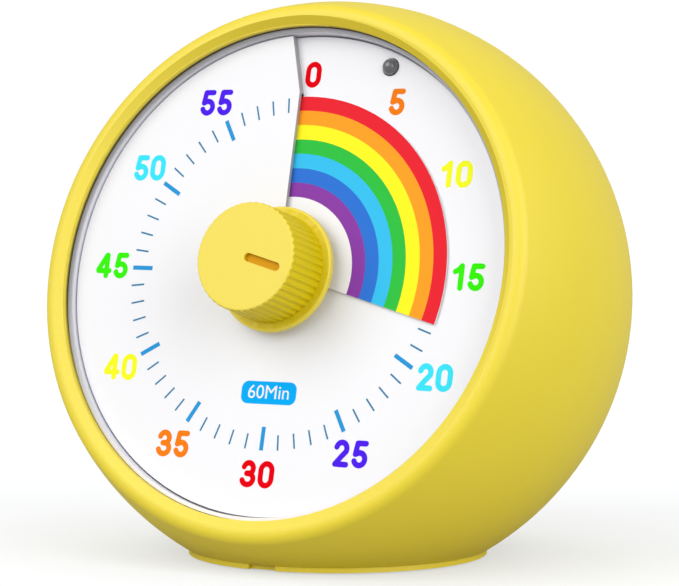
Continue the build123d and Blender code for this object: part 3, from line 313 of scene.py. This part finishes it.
def second_tone(material, where, colour, shine=None):
    """Lays a second colour, painted shade in every use here, and a second gloss, over the plastic
    where the mask is 1.
    """
    tree = material.node_tree
    surface = next(node for node in tree.nodes if node.type == "BSDF_PRINCIPLED")
    first = surface.inputs["Base Color"].links[0].from_socket
    tone = add(
        material, "ShaderNodeMix", {"data_type": "RGBA"}, Factor=(where, 0), _7=srgb(colour)
    )
    tree.links.new(first, tone.inputs[6])
    tree.links.new(tone.outputs["Result"], surface.inputs["Base Color"])
    if shine is not None:
        gloss = add(
            material,
            "ShaderNodeMapRange",
            Value=(where, 0),
            To_Min=surface.inputs["Specular IOR Level"].default_value,
            To_Max=shine,
        )
        tree.links.new(gloss.outputs["Result"], surface.inputs["Specular IOR Level"])


# %% [markdown]
# ## The knob
# The knob's face and flange have the same fine grain as the shell. The fluted band between them
# gets painted shade, a deeper yellow with less gloss, as where its side turns away from the light.
# Two heights along the dial's axis are enough to find that band.

# %% Knob plastic
GRIP_BACK = 22.05            # the knob's fluted band starts at the flange
GRIP_FRONT = 31.2            # and ends just under the face, along the dial's axis


def knob_plastic():
    """Grained yellow plastic with painted shade, a deeper and less glossy band, where the knob is
    fluted.
    """
    material = moulded("abs_yellow_knob", "#EAD42E", "#E8D12A", 0.5, shine=0.8)
    _, height = on_dial(material, DIAL_OUT)
    shaded_grip = mask(material, [(height, GRIP_BACK, GRIP_FRONT)])
    # painted shade on the fluted band
    second_tone(material, shaded_grip, "#DAC402", shine=0.2)
    return material


# %% [markdown]
# ## The shell
# The opening's bevel gets painted shade: a deeper yellow with less gloss that grows to the upper
# right, as if the bevel turned away from the light there. On the right the eye meets it edge on,
# and only its inner part is painted deep. The wall behind the bevel stays in the shade of the
# crown, painted as a dark line round the dial's upper part. Dark cards round the object could draw
# the same, but they would also darken the rest of the ball.

# %% Places on the shell
RIM_FRONT = 22.5             # front of the ball, along the dial's axis
RING_FRONT = 20.7            # front of the ring between the shell and the plate
BEVEL_RADIUS = 43.0          # outer edge of the opening's bevel
OPENING_RADIUS = 41.45       # wall of the opening

# The wall of the opening: its radii, the heights that can be seen, and the two heights between
# which its painted shade turns dark.
WALL_RADII = (OPENING_RADIUS - 1, OPENING_RADIUS + 0.1)
WALL_HEIGHTS = (RING_FRONT - 6, RIM_FRONT)
WALL_SHADE_FADE = (RING_FRONT + 0.75, RING_FRONT + 0.25)

# The bevel: its heights, and the distances to the upper right between which the deeper tone of
# painted shade grows to its largest share. To the right the deep band narrows, until it has lost
# NARROWING in mm.
BEVEL_HEIGHTS = (RING_FRONT, RIM_FRONT + 1)
UPPER_RIGHT = DIAL_UP * 0.9 + RIGHT * 0.43
BEVEL_SHADE_FADE = (-0.1 * BEVEL_RADIUS, 0.8 * BEVEL_RADIUS)
BEVEL_SHADE_SHARE = 0.85
NARROWING_END = 0.6 * BEVEL_RADIUS
NARROWING = 0.65

print("bevel", round(BEVEL_RADIUS - OPENING_RADIUS, 2), "mm wide")

# %% Shade of the crown
# It begins and is full at these distances up the dial.
CROWN_FADE = (-0.9 * OPENING_RADIUS, -0.1 * OPENING_RADIUS)


def upper_share(material, up_dial):
    """1 in the dial's upper half, falling to 0 towards its bottom."""
    return add(
        material,
        "ShaderNodeMapRange",
        Value=up_dial,
        From_Min=CROWN_FADE[0],
        From_Max=CROWN_FADE[1],
    )


# %% Shell plastic
def shell_plastic():
    """Grained yellow plastic with painted shade: deeper on the bevel and dark on the wall of the
    opening.
    """
    material = moulded("abs_yellow_shell", "#EBD622", "#E9D21E", 0.5, shine=0.8)
    offset, height, up_dial, rightward, upper_right = on_dial(
        material, DIAL_OUT, DIAL_UP, RIGHT, UPPER_RIGHT
    )
    across = add(
        material,
        "ShaderNodeVectorMath",
        {"operation": "CROSS_PRODUCT"},
        _0=offset,
        _1=tuple(DIAL_OUT),
    )
    radius = add(material, "ShaderNodeVectorMath", {"operation": "LENGTH"}, _0=(across, "Vector"))
    narrowing = add(
        material,
        "ShaderNodeMapRange",
        Value=rightward,
        From_Max=NARROWING_END,
        To_Max=NARROWING,
    )
    widened = add(
        material, "ShaderNodeMath", _0=(radius, "Value"), _1=(narrowing, "Result")
    )
    share = add(
        material,
        "ShaderNodeMapRange",
        Value=upper_right,
        From_Min=BEVEL_SHADE_FADE[0],
        From_Max=BEVEL_SHADE_FADE[1],
        To_Max=BEVEL_SHADE_SHARE,
    )
    bevel_bands = [(height, *BEVEL_HEIGHTS), ((widened, "Value"), WALL_RADII[1], BEVEL_RADIUS)]
    # painted shade on the bevel: a deeper yellow, with less gloss
    second_tone(material, mask(material, bevel_bands, [share]), "#BFA908", shine=0.3)
    deep = add(
        material,
        "ShaderNodeMapRange",
        Value=height,
        From_Min=WALL_SHADE_FADE[0],
        From_Max=WALL_SHADE_FADE[1],
    )
    wall_bands = [((radius, "Value"), *WALL_RADII), (height, *WALL_HEIGHTS)]
    shade = mask(material, wall_bands, [deep, upper_share(material, up_dial)])
    # painted shade on the wall of the opening: a dark olive
    second_tone(material, shade, "#5C5020")
    return material


# %% [markdown]
# ## The dial tray and the dial plate
# The tray's ring stands between the shell and the plate. It gets painted shade: grey under the
# shell, turning to white at the plate, as if it were lit from the front only. A tone that follows
# the height gives this from every side.

# %% Tray plastic
RING_SHADE_DEPTH = 0.9       # the ring's front edge is grey over this depth
RING_SHADE = 0.9             # and this is the grey's share at the very front


def tray_plastic():
    """White plastic with painted shade, grey towards the top of the ring round the plate."""
    material = moulded("abs_white", "#E9E9F2", "#E6E6EF", 0.4)
    _, height, up_dial = on_dial(material, DIAL_OUT, DIAL_UP)
    front = add(
        material,
        "ShaderNodeMapRange",
        {"interpolation_type": "SMOOTHSTEP"},
        Value=height,
        From_Min=RING_FRONT - RING_SHADE_DEPTH,
        From_Max=RING_FRONT,
        To_Max=RING_SHADE,
    )
    shade = add(
        material,
        "ShaderNodeMath",
        {"operation": "MULTIPLY"},
        _0=(front, "Result"),
        _1=(upper_share(material, up_dial), "Result"),
    )
    # the grey of the painted shade
    second_tone(material, shade, "#9C9CA8")
    return material


# %% [markdown]
# On the plate, the low wall of the step faces sideways and gets painted shade, a grey. Almost no
# other face that shows looks that way, so the direction of a face finds it.

# %% Plate plastic
STEP_FACES = RIGHT * 0.97 + DIAL_UP * 0.25
FACING_IT = (0.9, 1.1)       # dot product of a face's normal and that direction


def plate_plastic():
    """White plastic with painted shade, grey, on the wall of the plate's step."""
    material = moulded("polystyrene_dial_white", "#EDEDF1", "#EBEBEF", 0.42, depth=0.002)
    normal = add(material, "ShaderNodeNewGeometry")
    sideways = add(
        material,
        "ShaderNodeVectorMath",
        {"operation": "DOT_PRODUCT"},
        _0=(normal, "True Normal"),
        _1=tuple(STEP_FACES),
    )
    shaded_step_wall = mask(material, [((sideways, "Value"), *FACING_IT)])
    # painted shade on the step's wall
    second_tone(material, shaded_step_wall, "#A2A2A4", shine=0.2)
    return material


# %% [markdown]
# ## A finish for every slot
# The record of the CAD model gives every piece the name of a material slot. The finishes could be
# set piece by piece, but there are 45 of them. A table that joins the slots' names to the finishes
# keeps them in one place.

# %% Finishes of the CAD nodes, by slot
finishes = {
    "yellow_shell": shell_plastic(),
    "yellow_knob": knob_plastic(),
    "white_plastic": tray_plastic(),
    "dial_face": plate_plastic(),
    "rainbow_sheet": moulded("pet_sheet_white", "#EDEDF1", "#EBEBEF", 0.35, depth=0.001),
    "amber_insert": moulded("abs_amber_insert", "#DCA000", "#D39600", 0.5, shine=0.1),
    "acetal": moulded("acetal_natural", "#ECEAE2", "#E4E1D6", 0.32),
    "grey_plastic": moulded("abs_grey", "#85888C", "#7B7E82", 0.5),
    "black_plastic": moulded("abs_black", "#1C1D20", "#151618", 0.45),
    "fibre_washer": moulded("fibre_washer_red", "#8C3B2C", "#7A3125", 0.8, grain=0.2, depth=0.02),
    "foot_rubber": moulded("rubber_grey", "#3A3B3E", "#2F3033", 0.85, grain=0.5, depth=0.02),
    "board_laminate": moulded("board_laminate_green", "#1E5B3A", "#174B30", 0.35, grain=0.6),
    "cell_jacket": moulded("cell_jacket_film", "#3C4148", "#33383F", 0.28, coat=0.4),
    "smoked_lens": moulded("polycarbonate_smoked", "#66676C", "#5C5D62", 0.18, coat=0.6),
    "spring_steel": bare_metal("steel_zinc_plated", "#C9CBD0", 0.3),
    "steel_can": bare_metal("steel_can_drawn", "#B9BCC2", 0.35, lines=0.4),
    "tinned_wire": bare_metal("wire_tinned", "#D8D9DC", 0.25),
    "aluminium_can": bare_metal("aluminium_can", "#C8CACF", 0.3),
    "brass_bush": bare_metal("brass_turned", "#D3A84C", 0.3),
    "copper_winding": bare_metal("copper_enamelled", "#B4562B", 0.3, lines=0.3, depth=0.05),
    "magnet": bare_metal("ferrite_magnet", "#3B3C40", 0.55, lines=0.5),
}
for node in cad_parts.values():
    node.data.materials[0] = finishes[node.data.materials[0].name]
print(len(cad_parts), "CAD nodes with", len(finishes), "finishes")

# %% [markdown]
# ## The dial's ramp
# The dial plate is not flat: it rises by 1.4 mm in one turn, like one thread of a very flat screw,
# and the step at the end of the turn is the slit that the rainbow disc comes out of. Whatever is
# printed on the plate has to follow that rise. A ray shot at the plate could find its height, but
# on a plain ramp one line of arithmetic gives it exactly.

# %% Heights on the ramp
RAMP_START = 18.3
RAMP_RISE = 1.4


def ramp_height(clock_degrees):
    """Height of the plate's face, in mm, at a clock angle."""
    return RAMP_START + RAMP_RISE * clock_degrees / 360


def clock_angle(x, y, near):
    """Clock angle of a point on the dial, counted without a jump around the angle near."""
    angle = math.degrees(math.atan2(x, y))
    return near + (angle - near + 180) % 360 - 180


def spot(clock_degrees, radius):
    """Point on the dial at a clock angle and a radius in mm."""
    angle = math.radians(clock_degrees)
    return radius * math.sin(angle), radius * math.cos(angle)


print("ramp from", RAMP_START, "to", round(ramp_height(360), 1), "mm")

# %% [markdown]
# ## From points to pieces
# Every piece made here is a closed mesh. One function turns points and faces into an object,
# turns its faces outward, shades it smooth except along its real edges, and lets it ride on the
# CAD body that carries it. Blender's operators could do this too, but they depend on what is
# selected, and work on the mesh's own data doesn't.

# %% Piece builder
WELD = 1e-7                  # points nearer than this, in metres, are one point
CREASE = math.radians(30)    # edges sharper than this are real edges


def piece(name, points, faces, body, inks, faces_ink=None):
    """Object from points in metres; inks are its materials and faces_ink the one of each face."""
    mesh = bpy.data.meshes.new(name)
    mesh.from_pydata([tuple(p) for p in points], [], faces)
    for ink in inks:
        mesh.materials.append(ink)
    if faces_ink:
        mesh.polygons.foreach_set("material_index", faces_ink)
    shaped = bmesh.new()
    shaped.from_mesh(mesh)
    bmesh.ops.remove_doubles(shaped, verts=shaped.verts, dist=WELD)
    bmesh.ops.recalc_face_normals(shaped, faces=shaped.faces)
    shaped.to_mesh(mesh)
    shaped.free()
    mesh.polygons.foreach_set("use_smooth", [True] * len(mesh.polygons))
    mesh.set_sharp_from_angle(angle=CREASE)
    thing = bpy.data.objects.new(name, mesh)
    bpy.context.scene.collection.objects.link(thing)
    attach(thing, body)
    return thing


# %% [markdown]
# ## The rainbow disc
# The real disc is a thin plastic sheet, printed in seven rings of nearly equal width round a white
# middle. A screw modifier could sweep its profile, but it leaves the ends open and the rings
# without inks. So the points are laid out ring by ring and step by step. The borders of the rings
# are edges of the mesh and stay sharp however near one looks, and each ring has its own ink.

# %% Rings and inks of the disc
RING_EDGES = [5.15, 12.85, 15.28, 17.73, 20.21, 22.64, 25.14, 27.57, 30.0]
RING_COLOURS = ["#873AA6", "#2A71D5", "#34BDEE", "#2CBD3F", "#FAF11F", "#F89D1E", "#E61D2C"]
DISC_THICKNESS = 0.25
DISC_MIDDLE = 0.325          # middle of the sheet above the plate
TURNED = 105.48              # clock angle of the disc's leading edge, 17.6 minutes
DISC_STEPS = 240

disc_inks = [finishes["rainbow_sheet"]]
disc_inks += [screen_ink("sheet_ink_%d" % i, colour) for i, colour in enumerate(RING_COLOURS)]
rings = len(RING_EDGES)
print(rings - 1, "rings out to", RING_EDGES[-1], "mm")

# %% Points and faces of the disc
points, faces, faces_ink = [], [], []
for step in range(DISC_STEPS + 1):
    angle = TURNED - 360 + 360 * step / DISC_STEPS
    middle = ramp_height(angle) + DISC_MIDDLE
    for side in (DISC_THICKNESS / 2, -DISC_THICKNESS / 2):
        for radius in RING_EDGES:
            points.append(DIAL @ Vector((*spot(angle, radius), middle + side)))
for step in range(DISC_STEPS):
    here, there = step * 2 * rings, (step + 1) * 2 * rings
    for ring in range(rings - 1):
        faces.append((here + ring, here + ring + 1, there + ring + 1, there + ring))
        faces_ink.append(ring)
        lower, beyond = here + rings + ring, there + rings + ring
        faces.append((lower, beyond, beyond + 1, lower + 1))
        faces_ink.append(0)
    for edge in (0, rings - 1):
        faces.append((here + edge, there + edge, there + rings + edge, here + rings + edge))
        faces_ink.append(0)
for end in (0, DISC_STEPS * 2 * rings):
    for ring in range(rings - 1):
        faces.append((end + ring, end + ring + 1, end + rings + ring + 1, end + rings + ring))
        faces_ink.append(0)
print(len(points), "points,", len(faces), "faces")

# %% Rainbow disc
disc = piece("printed_disc", points, faces, "disc", disc_inks, faces_ink)
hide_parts("rainbow_disc")
print("printed_disc:", len(disc.data.polygons), "faces")

# %% [markdown]
# ## Minute marks
# The marks are screen-printed on the plate: a thin line for each minute and a thicker, slightly
# longer one for every fifth. Each is a tiny raised bar of ink that follows the ramp. An array
# modifier could repeat one bar, but a loop can also leave out the fifths and climb the ramp.

# %% Minute marks
INK_HEIGHT = 0.03
INK_DEPTH = 0.03             # how far the print's underside lies in the plate
PRINT_SHIFT = 0.25           # the print lies this far to the right of the knob's axis
PRINT_TURN = 0.55            # and is turned clockwise by this angle
BAR_FACES = [(0, 1, 3, 2), (4, 6, 7, 5), (0, 4, 5, 1), (2, 3, 7, 6), (1, 5, 7, 3), (0, 2, 6, 4)]
MARK_END = 29.6              # outer radius of every mark


def bars(name, minutes, inner, width, colour):
    """One mesh of radial bars of ink, at the given minutes."""
    points, faces = [], []
    for minute in minutes:
        first = len(points)
        angle = minute * 6 + PRINT_TURN
        x, y = spot(angle, 1)
        for radius in (inner, MARK_END):
            for side in (-width / 2, width / 2):
                for height in (-INK_DEPTH, INK_HEIGHT):
                    flat = (PRINT_SHIFT + x * radius + y * side, y * radius - x * side)
                    level = ramp_height(clock_angle(*flat, angle)) + height
                    points.append(DIAL @ Vector((*flat, level)))
        faces += [[first + corner for corner in face] for face in BAR_FACES]
    piece(name, points, faces, "housing", [screen_ink(name + "_ink", colour)])
    print(name + ":", len(minutes), "bars")


bars("minute_marks", [m for m in range(1, 60) if m % 5], 27.1, 0.28, "#2479A4")
bars("five_minute_marks", range(5, 60, 5), 25.7, 0.72, "#1E94D4")

# %% [markdown]
# ## Numerals
# A font would be the easy way to the numbers, but theirs has even round strokes that Blender's own
# font doesn't have. So they are drawn as a sign painter would, with one round brush: each digit is
# a few strokes, and the ink is everything within half a brush of them. This gives rounded ends,
# and joins that are never thinner than the brush.

# %% Strokes of the digits, in a cell one unit high
BRUSH = 0.105                # half the brush's width


def arc(centre_x, centre_y, radius_x, radius_y, start, end, steps=16):
    """Points on an arc from start to end, in degrees counterclockwise from the right."""
    angles = [math.radians(start + (end - start) * i / steps) for i in range(steps + 1)]
    return [(centre_x + radius_x * math.cos(a), centre_y + radius_y * math.sin(a)) for a in angles]


STROKES = {
    "0": [
        arc(0.33, 0.65, 0.23, 0.25, 0, 180)
        + arc(0.33, 0.35, 0.23, 0.25, 180, 360)
        + [(0.56, 0.65)],
    ],
    "1": [[(0.15, 0.7), (0.29, 0.77), (0.39, 0.9), (0.39, 0.1)]],
    "2": [arc(0.33, 0.67, 0.21, 0.23, 165, -25) + [(0.34, 0.38), (0.12, 0.11), (0.56, 0.1)]],
    "3": [
        arc(0.32, 0.695, 0.2, 0.205, 165, -75) + [(0.26, 0.51)],
        [(0.26, 0.51)] + arc(0.32, 0.31, 0.23, 0.21, 80, -165),
    ],
    "4": [[(0.45, 0.1), (0.45, 0.89), (0.41, 0.89), (0.09, 0.34), (0.09, 0.29), (0.58, 0.29)]],
    "5": [[(0.54, 0.9), (0.21, 0.9), (0.15, 0.5)] + arc(0.33, 0.33, 0.22, 0.23, 125, -160)],
}
ADVANCE = {"0": 0.75, "1": 0.66, "2": 0.76, "3": 0.75, "4": 0.77, "5": 0.75}
DIGIT_GAP = 0.09             # part of the advance that is empty
print("strokes of", len(STROKES), "digits")

# %% [markdown]
# The outline of the ink is found on a fine grid. Each of its points gets its distance to the ink's
# border, negative inside.

# %% Distance to the ink's border
GRID_STEP = 0.02             # in heights of a digit
GRID_X = np.arange(-0.1, 0.9, GRID_STEP)
GRID_Y = np.arange(-0.1, 1.1, GRID_STEP)


def border_distance(strokes):
    """Distance from each point of the grid to the ink's border, negative inside the ink."""
    grid_x, grid_y = np.meshgrid(GRID_X, GRID_Y, indexing="ij")
    field = np.full(grid_x.shape, np.inf)
    for stroke in strokes:
        for (x0, y0), (x1, y1) in zip(stroke, stroke[1:]):
            dx, dy = x1 - x0, y1 - y0
            share = ((grid_x - x0) * dx + (grid_y - y0) * dy) / max(dx * dx + dy * dy, 1e-9)
            share = np.clip(share, 0, 1)
            gap = np.hypot(grid_x - x0 - share * dx, grid_y - y0 - share * dy)
            field = np.minimum(field, gap - BRUSH)
    return field


# %% [markdown]
# Wherever two neighbours on the grid differ in sign, the border crosses the side between them. A
# walk goes from that side to the next crossed side of the same cell, until it comes back to its
# start. Joining one capsule for each stroke with booleans could give the same area, but it often
# fails where they only touch.


# %% Outline of the ink
def ink_outlines(strokes):
    """Closed outlines of the area within a brush of the strokes."""
    field = border_distance(strokes)
    step_from = {}
    for i in range(len(GRID_X) - 1):
        for j in range(len(GRID_Y) - 1):
            corners = [(i, j), (i + 1, j), (i + 1, j + 1), (i, j + 1)]
            sides = [(corners[k], corners[(k + 1) % 4]) for k in range(4)]
            crossed = [s for s in sides if (field[s[0]] < 0) != (field[s[1]] < 0)]
            for k, side in enumerate(crossed):
                if field[side[0]] < 0:
                    following = crossed[(k + 1) % len(crossed)]
                    step_from[frozenset(side)] = frozenset(following)
    outlines = []
    while step_from:
        side, loop = next(iter(step_from)), []
        while side in step_from:
            a, b = sorted(side)
            share = field[a] / (field[a] - field[b])
            loop.append((
                GRID_X[a[0]] + share * (GRID_X[b[0]] - GRID_X[a[0]]),
                GRID_Y[a[1]] + share * (GRID_Y[b[1]] - GRID_Y[a[1]]),
            ))
            side = step_from.pop(side)
        outlines.append(loop)
    return outlines


OUTLINES = {digit: ink_outlines(strokes) for digit, strokes in STROKES.items()}
print("outlines of the digits:", {digit: len(loops) for digit, loops in OUTLINES.items()})

# %% [markdown]
# A filled curve turns those outlines into a thin plate with holes where they belong, which saves
# making its triangles by hand. The plate is then laid on the ramp, point by point.

# %% Laying print on the ramp
PLATE_HALF = 0.01            # half the thickness of the flat plate, only to tell top from bottom


def flat_curve(name, loops):
    """Filled flat curve in mm with these closed outlines."""
    curve = bpy.data.curves.new(name, "CURVE")
    curve.dimensions = "2D"
    curve.fill_mode = "BOTH"
    curve.extrude = PLATE_HALF
    for loop in loops:
        spline = curve.splines.new("POLY")
        spline.points.add(len(loop) - 1)
        for point, (x, y) in zip(spline.points, loop):
            point.co = (x, y, 0, 1)
        spline.use_cyclic_u = True
    return curve


def lay_print(name, curve, middle_x, middle_y, ink, lift=0.0):
    """Piece of ink from a flat curve or text in mm, laid on the ramp round a middle point."""
    near = math.degrees(math.atan2(middle_x, middle_y))
    near += 360 if near < 0 else 0
    shape = bpy.data.objects.new(name + "_curve", curve)
    bpy.context.scene.collection.objects.link(shape)
    depsgraph = bpy.context.evaluated_depsgraph_get()
    flat = bpy.data.meshes.new_from_object(shape.evaluated_get(depsgraph))
    bpy.data.objects.remove(shape)
    points = []
    for vertex in flat.vertices:
        x, y = middle_x + vertex.co.x, middle_y + vertex.co.y
        height = INK_HEIGHT + lift if vertex.co.z > 0 else -INK_DEPTH
        points.append(DIAL @ Vector((x, y, ramp_height(clock_angle(x, y, near)) + height)))
    faces = [tuple(face.vertices) for face in flat.polygons]
    piece(name, points, faces, "housing", [ink])


# %% Outlines of a number
DIGIT_HEIGHT = 4.45


def number_loops(number):
    """Outlines of a number in mm, with its middle at the origin."""
    loops = []
    start = -(sum(ADVANCE[digit] for digit in number) - DIGIT_GAP) / 2
    for digit in number:
        for loop in OUTLINES[digit]:
            loops.append([((start + x) * DIGIT_HEIGHT, (y - 0.5) * DIGIT_HEIGHT) for x, y in loop])
        start += ADVANCE[digit]
    return loops


# %% The twelve numbers
NUMBERS = {                  # middle of each number on the dial, in mm, and its ink
    "0": (0.75, 33.9, "#E20011"),
    "5": (17.2, 28.9, "#F17C16"),
    "10": (29.5, 16.7, "#F3F92A"),
    "15": (33.7, -0.1, "#38EE0C"),
    "20": (29.9, -16.4, "#3CDFF4"),
    "25": (16.5, -29.3, "#4E20E8"),
    "30": (-0.2, -33.5, "#E20011"),
    "35": (-17.0, -29.3, "#F17C16"),
    "40": (-29.3, -16.8, "#F3F92A"),
    "45": (-33.6, 0.6, "#38EE0C"),
    "50": (-28.6, 17.7, "#3CDFF4"),
    "55": (-16.8, 29.0, "#4E20E8"),
}
MATT = 0.02                  # the numbers' and the label's ink mirrors almost nothing
number_inks = {}
for number, (x, y, colour) in NUMBERS.items():
    if colour not in number_inks:
        number_inks[colour] = screen_ink("number_ink_" + number, colour, shine=MATT)
    curve = flat_curve("number", number_loops(number))
    lay_print("number_" + number, curve, x, y, number_inks[colour])
print(len(NUMBERS), "numbers in", len(number_inks), "inks")

# %% [markdown]
# ## The range label
# A small blue field under the knob says how long the dial is: sixty minutes. It could be a cube
# with round edges, but an outline of four arcs can be laid on the ramp just as the numbers are.

# %% Field of the range label
LABEL_MIDDLE = (0.1, -20.1)
LABEL_WIDTH = 10.3
LABEL_HEIGHT = 3.75
LABEL_CORNER = 1.25
CORNER_STEPS = 8

half_width, half_height = LABEL_WIDTH / 2 - LABEL_CORNER, LABEL_HEIGHT / 2 - LABEL_CORNER
field_outline = []
for side_x, side_y, start in ((1, 1, 0), (-1, 1, 90), (-1, -1, 180), (1, -1, 270)):
    middle = (side_x * half_width, side_y * half_height)
    field_outline += arc(*middle, LABEL_CORNER, LABEL_CORNER, start, start + 90, CORNER_STEPS)
field_ink = screen_ink("label_ink_blue", "#0AA8F2", shine=MATT)
lay_print("range_label_field", flat_curve("label_field", [field_outline]), *LABEL_MIDDLE, field_ink)
print("label of", LABEL_WIDTH, "by", LABEL_HEIGHT, "mm")

# %% [markdown]
# The words lie on the field in white. They are small and plain, so here Blender's own font is
# close enough.

# %% Words of the range label
WORDS_SIZE = 3.2
WORDS_LIFT = 0.02            # the white ink lies this far above the blue

words = bpy.data.curves.new("label_words", "FONT")
words.body = "60Min"
words.size = WORDS_SIZE
words.align_x = "CENTER"
words.align_y = "CENTER"
words.extrude = PLATE_HALF
words.resolution_u = 6
words_ink = screen_ink("label_ink_white", "#EEEEEE")
lay_print("range_label_words", words, *LABEL_MIDDLE, words_ink, lift=WORDS_LIFT)
print("words:", words.body)

# %% [markdown]
# ## Studio
# The floor is a white sheet that runs on behind the object without a visible end. Lamps alone could
# make it white, but then they would bleach the object too. So the sheet glows a little for the
# camera, and less so close to the object, where the room's light is held off: that is a painted
# shadow. It looks white where it is open and keeps the object's soft shadow, partly cast by the
# lamps and partly painted. For the object's own light it is only a pale grey reflector.

# %% Paper of the floor
FLOOR_GREY = 0.52            # what the object gets back from the floor
FLOOR_SEEN = 0.3             # what the camera gets back from it, next to the glow
GLOW_NEAR = 0.55
GLOW_FAR = 0.75
SHADE_REACH = 0.3            # the object holds light off the floor up to this far, in metres

paper_backdrop = blank("paper_backdrop")
camera_ray = add(paper_backdrop, "ShaderNodeLightPath")
albedo = add(
    paper_backdrop,
    "ShaderNodeMix",
    {"data_type": "RGBA"},
    Factor=(camera_ray, "Is Camera Ray"),
    _6=(FLOOR_GREY, FLOOR_GREY, FLOOR_GREY, 1),
    _7=(FLOOR_SEEN, FLOOR_SEEN, FLOOR_SEEN, 1),
)
paper = add(paper_backdrop, "ShaderNodeBsdfDiffuse", Color=(albedo, "Result"))
openness = add(
    paper_backdrop, "ShaderNodeAmbientOcclusion", {"samples": 32}, Distance=SHADE_REACH
)
# painted shadow: the glow falls where the object holds the room's light off
soft = add(
    paper_backdrop,
    "ShaderNodeMapRange",
    Value=(openness, "AO"),
    To_Min=GLOW_NEAR,
    To_Max=GLOW_FAR,
)
glow_strength = add(
    paper_backdrop,
    "ShaderNodeMath",
    {"operation": "MULTIPLY"},
    _0=(camera_ray, "Is Camera Ray"),
    _1=(soft, "Result"),
)
glow = add(
    paper_backdrop,
    "ShaderNodeEmission",
    Color=srgb("#FCFEFF"),
    Strength=(glow_strength, "Value"),
)
both = add(paper_backdrop, "ShaderNodeAddShader", _0=(paper, "BSDF"), _1=(glow, "Emission"))
add(paper_backdrop, "ShaderNodeOutputMaterial", Surface=(both, "Shader"))
print("paper glows from", GLOW_NEAR, "to", GLOW_FAR)

# %% Floor
FLOOR_SIZE = 30              # in metres, so that its end can't be seen

bpy.ops.mesh.primitive_plane_add(size=FLOOR_SIZE, location=(0, 0, 0))
floor = bpy.context.object
floor.name = "floor"
floor.data.materials.append(paper_backdrop)
print("floor of", FLOOR_SIZE, "m")

# %% [markdown]
# The world is an even, fairly dim light from all sides, which the camera sees as plain white. A
# picture of a real studio could do this as well, but it would have to come from a file.

# %% World
AMBIENT = 0.6

world = bpy.data.worlds.new("studio")
bpy.context.scene.world = world
world.use_nodes = True
world.node_tree.nodes.clear()
seen = add(world, "ShaderNodeLightPath")
ambient = add(world, "ShaderNodeBackground", Color=(1, 1, 1, 1), Strength=AMBIENT)
white = add(world, "ShaderNodeBackground", Color=(1, 1, 1, 1), Strength=1.0)
choice = add(
    world,
    "ShaderNodeMixShader",
    _0=(seen, "Is Camera Ray"),
    _1=(ambient, "Background"),
    _2=(white, "Background"),
)
add(world, "ShaderNodeOutputWorld", Surface=(choice, "Shader"))
print("world gives", AMBIENT, "of full light")

# %% [markdown]
# Two very large and far softboxes stand in front: the stronger one low on the right, the other one
# higher on the left. Area lamps near by would light the near side of the floor more than the far
# side. A wide sun lamp lights all of it evenly and still gives soft shadows.


# %% Lamps
def far_softbox(name, direction, strength, spread):
    """Lamp so far away that it lights floor and object evenly; spread is its size in degrees."""
    lamp = bpy.data.lights.new(name, "SUN")
    lamp.energy = strength
    lamp.angle = math.radians(spread)
    box = bpy.data.objects.new(name, lamp)
    bpy.context.scene.collection.objects.link(box)
    box.rotation_euler = Vector(direction).to_track_quat("Z", "Y").to_euler()


far_softbox("key_lamp", (-0.35, -0.75, 0.55), strength=1.35, spread=50)
far_softbox("side_lamp", (0.9, -0.3, 0.35), strength=1.6, spread=60)
bpy.context.scene.view_settings.view_transform = "Standard"
print("studio with", len(bpy.data.lights), "lamps")
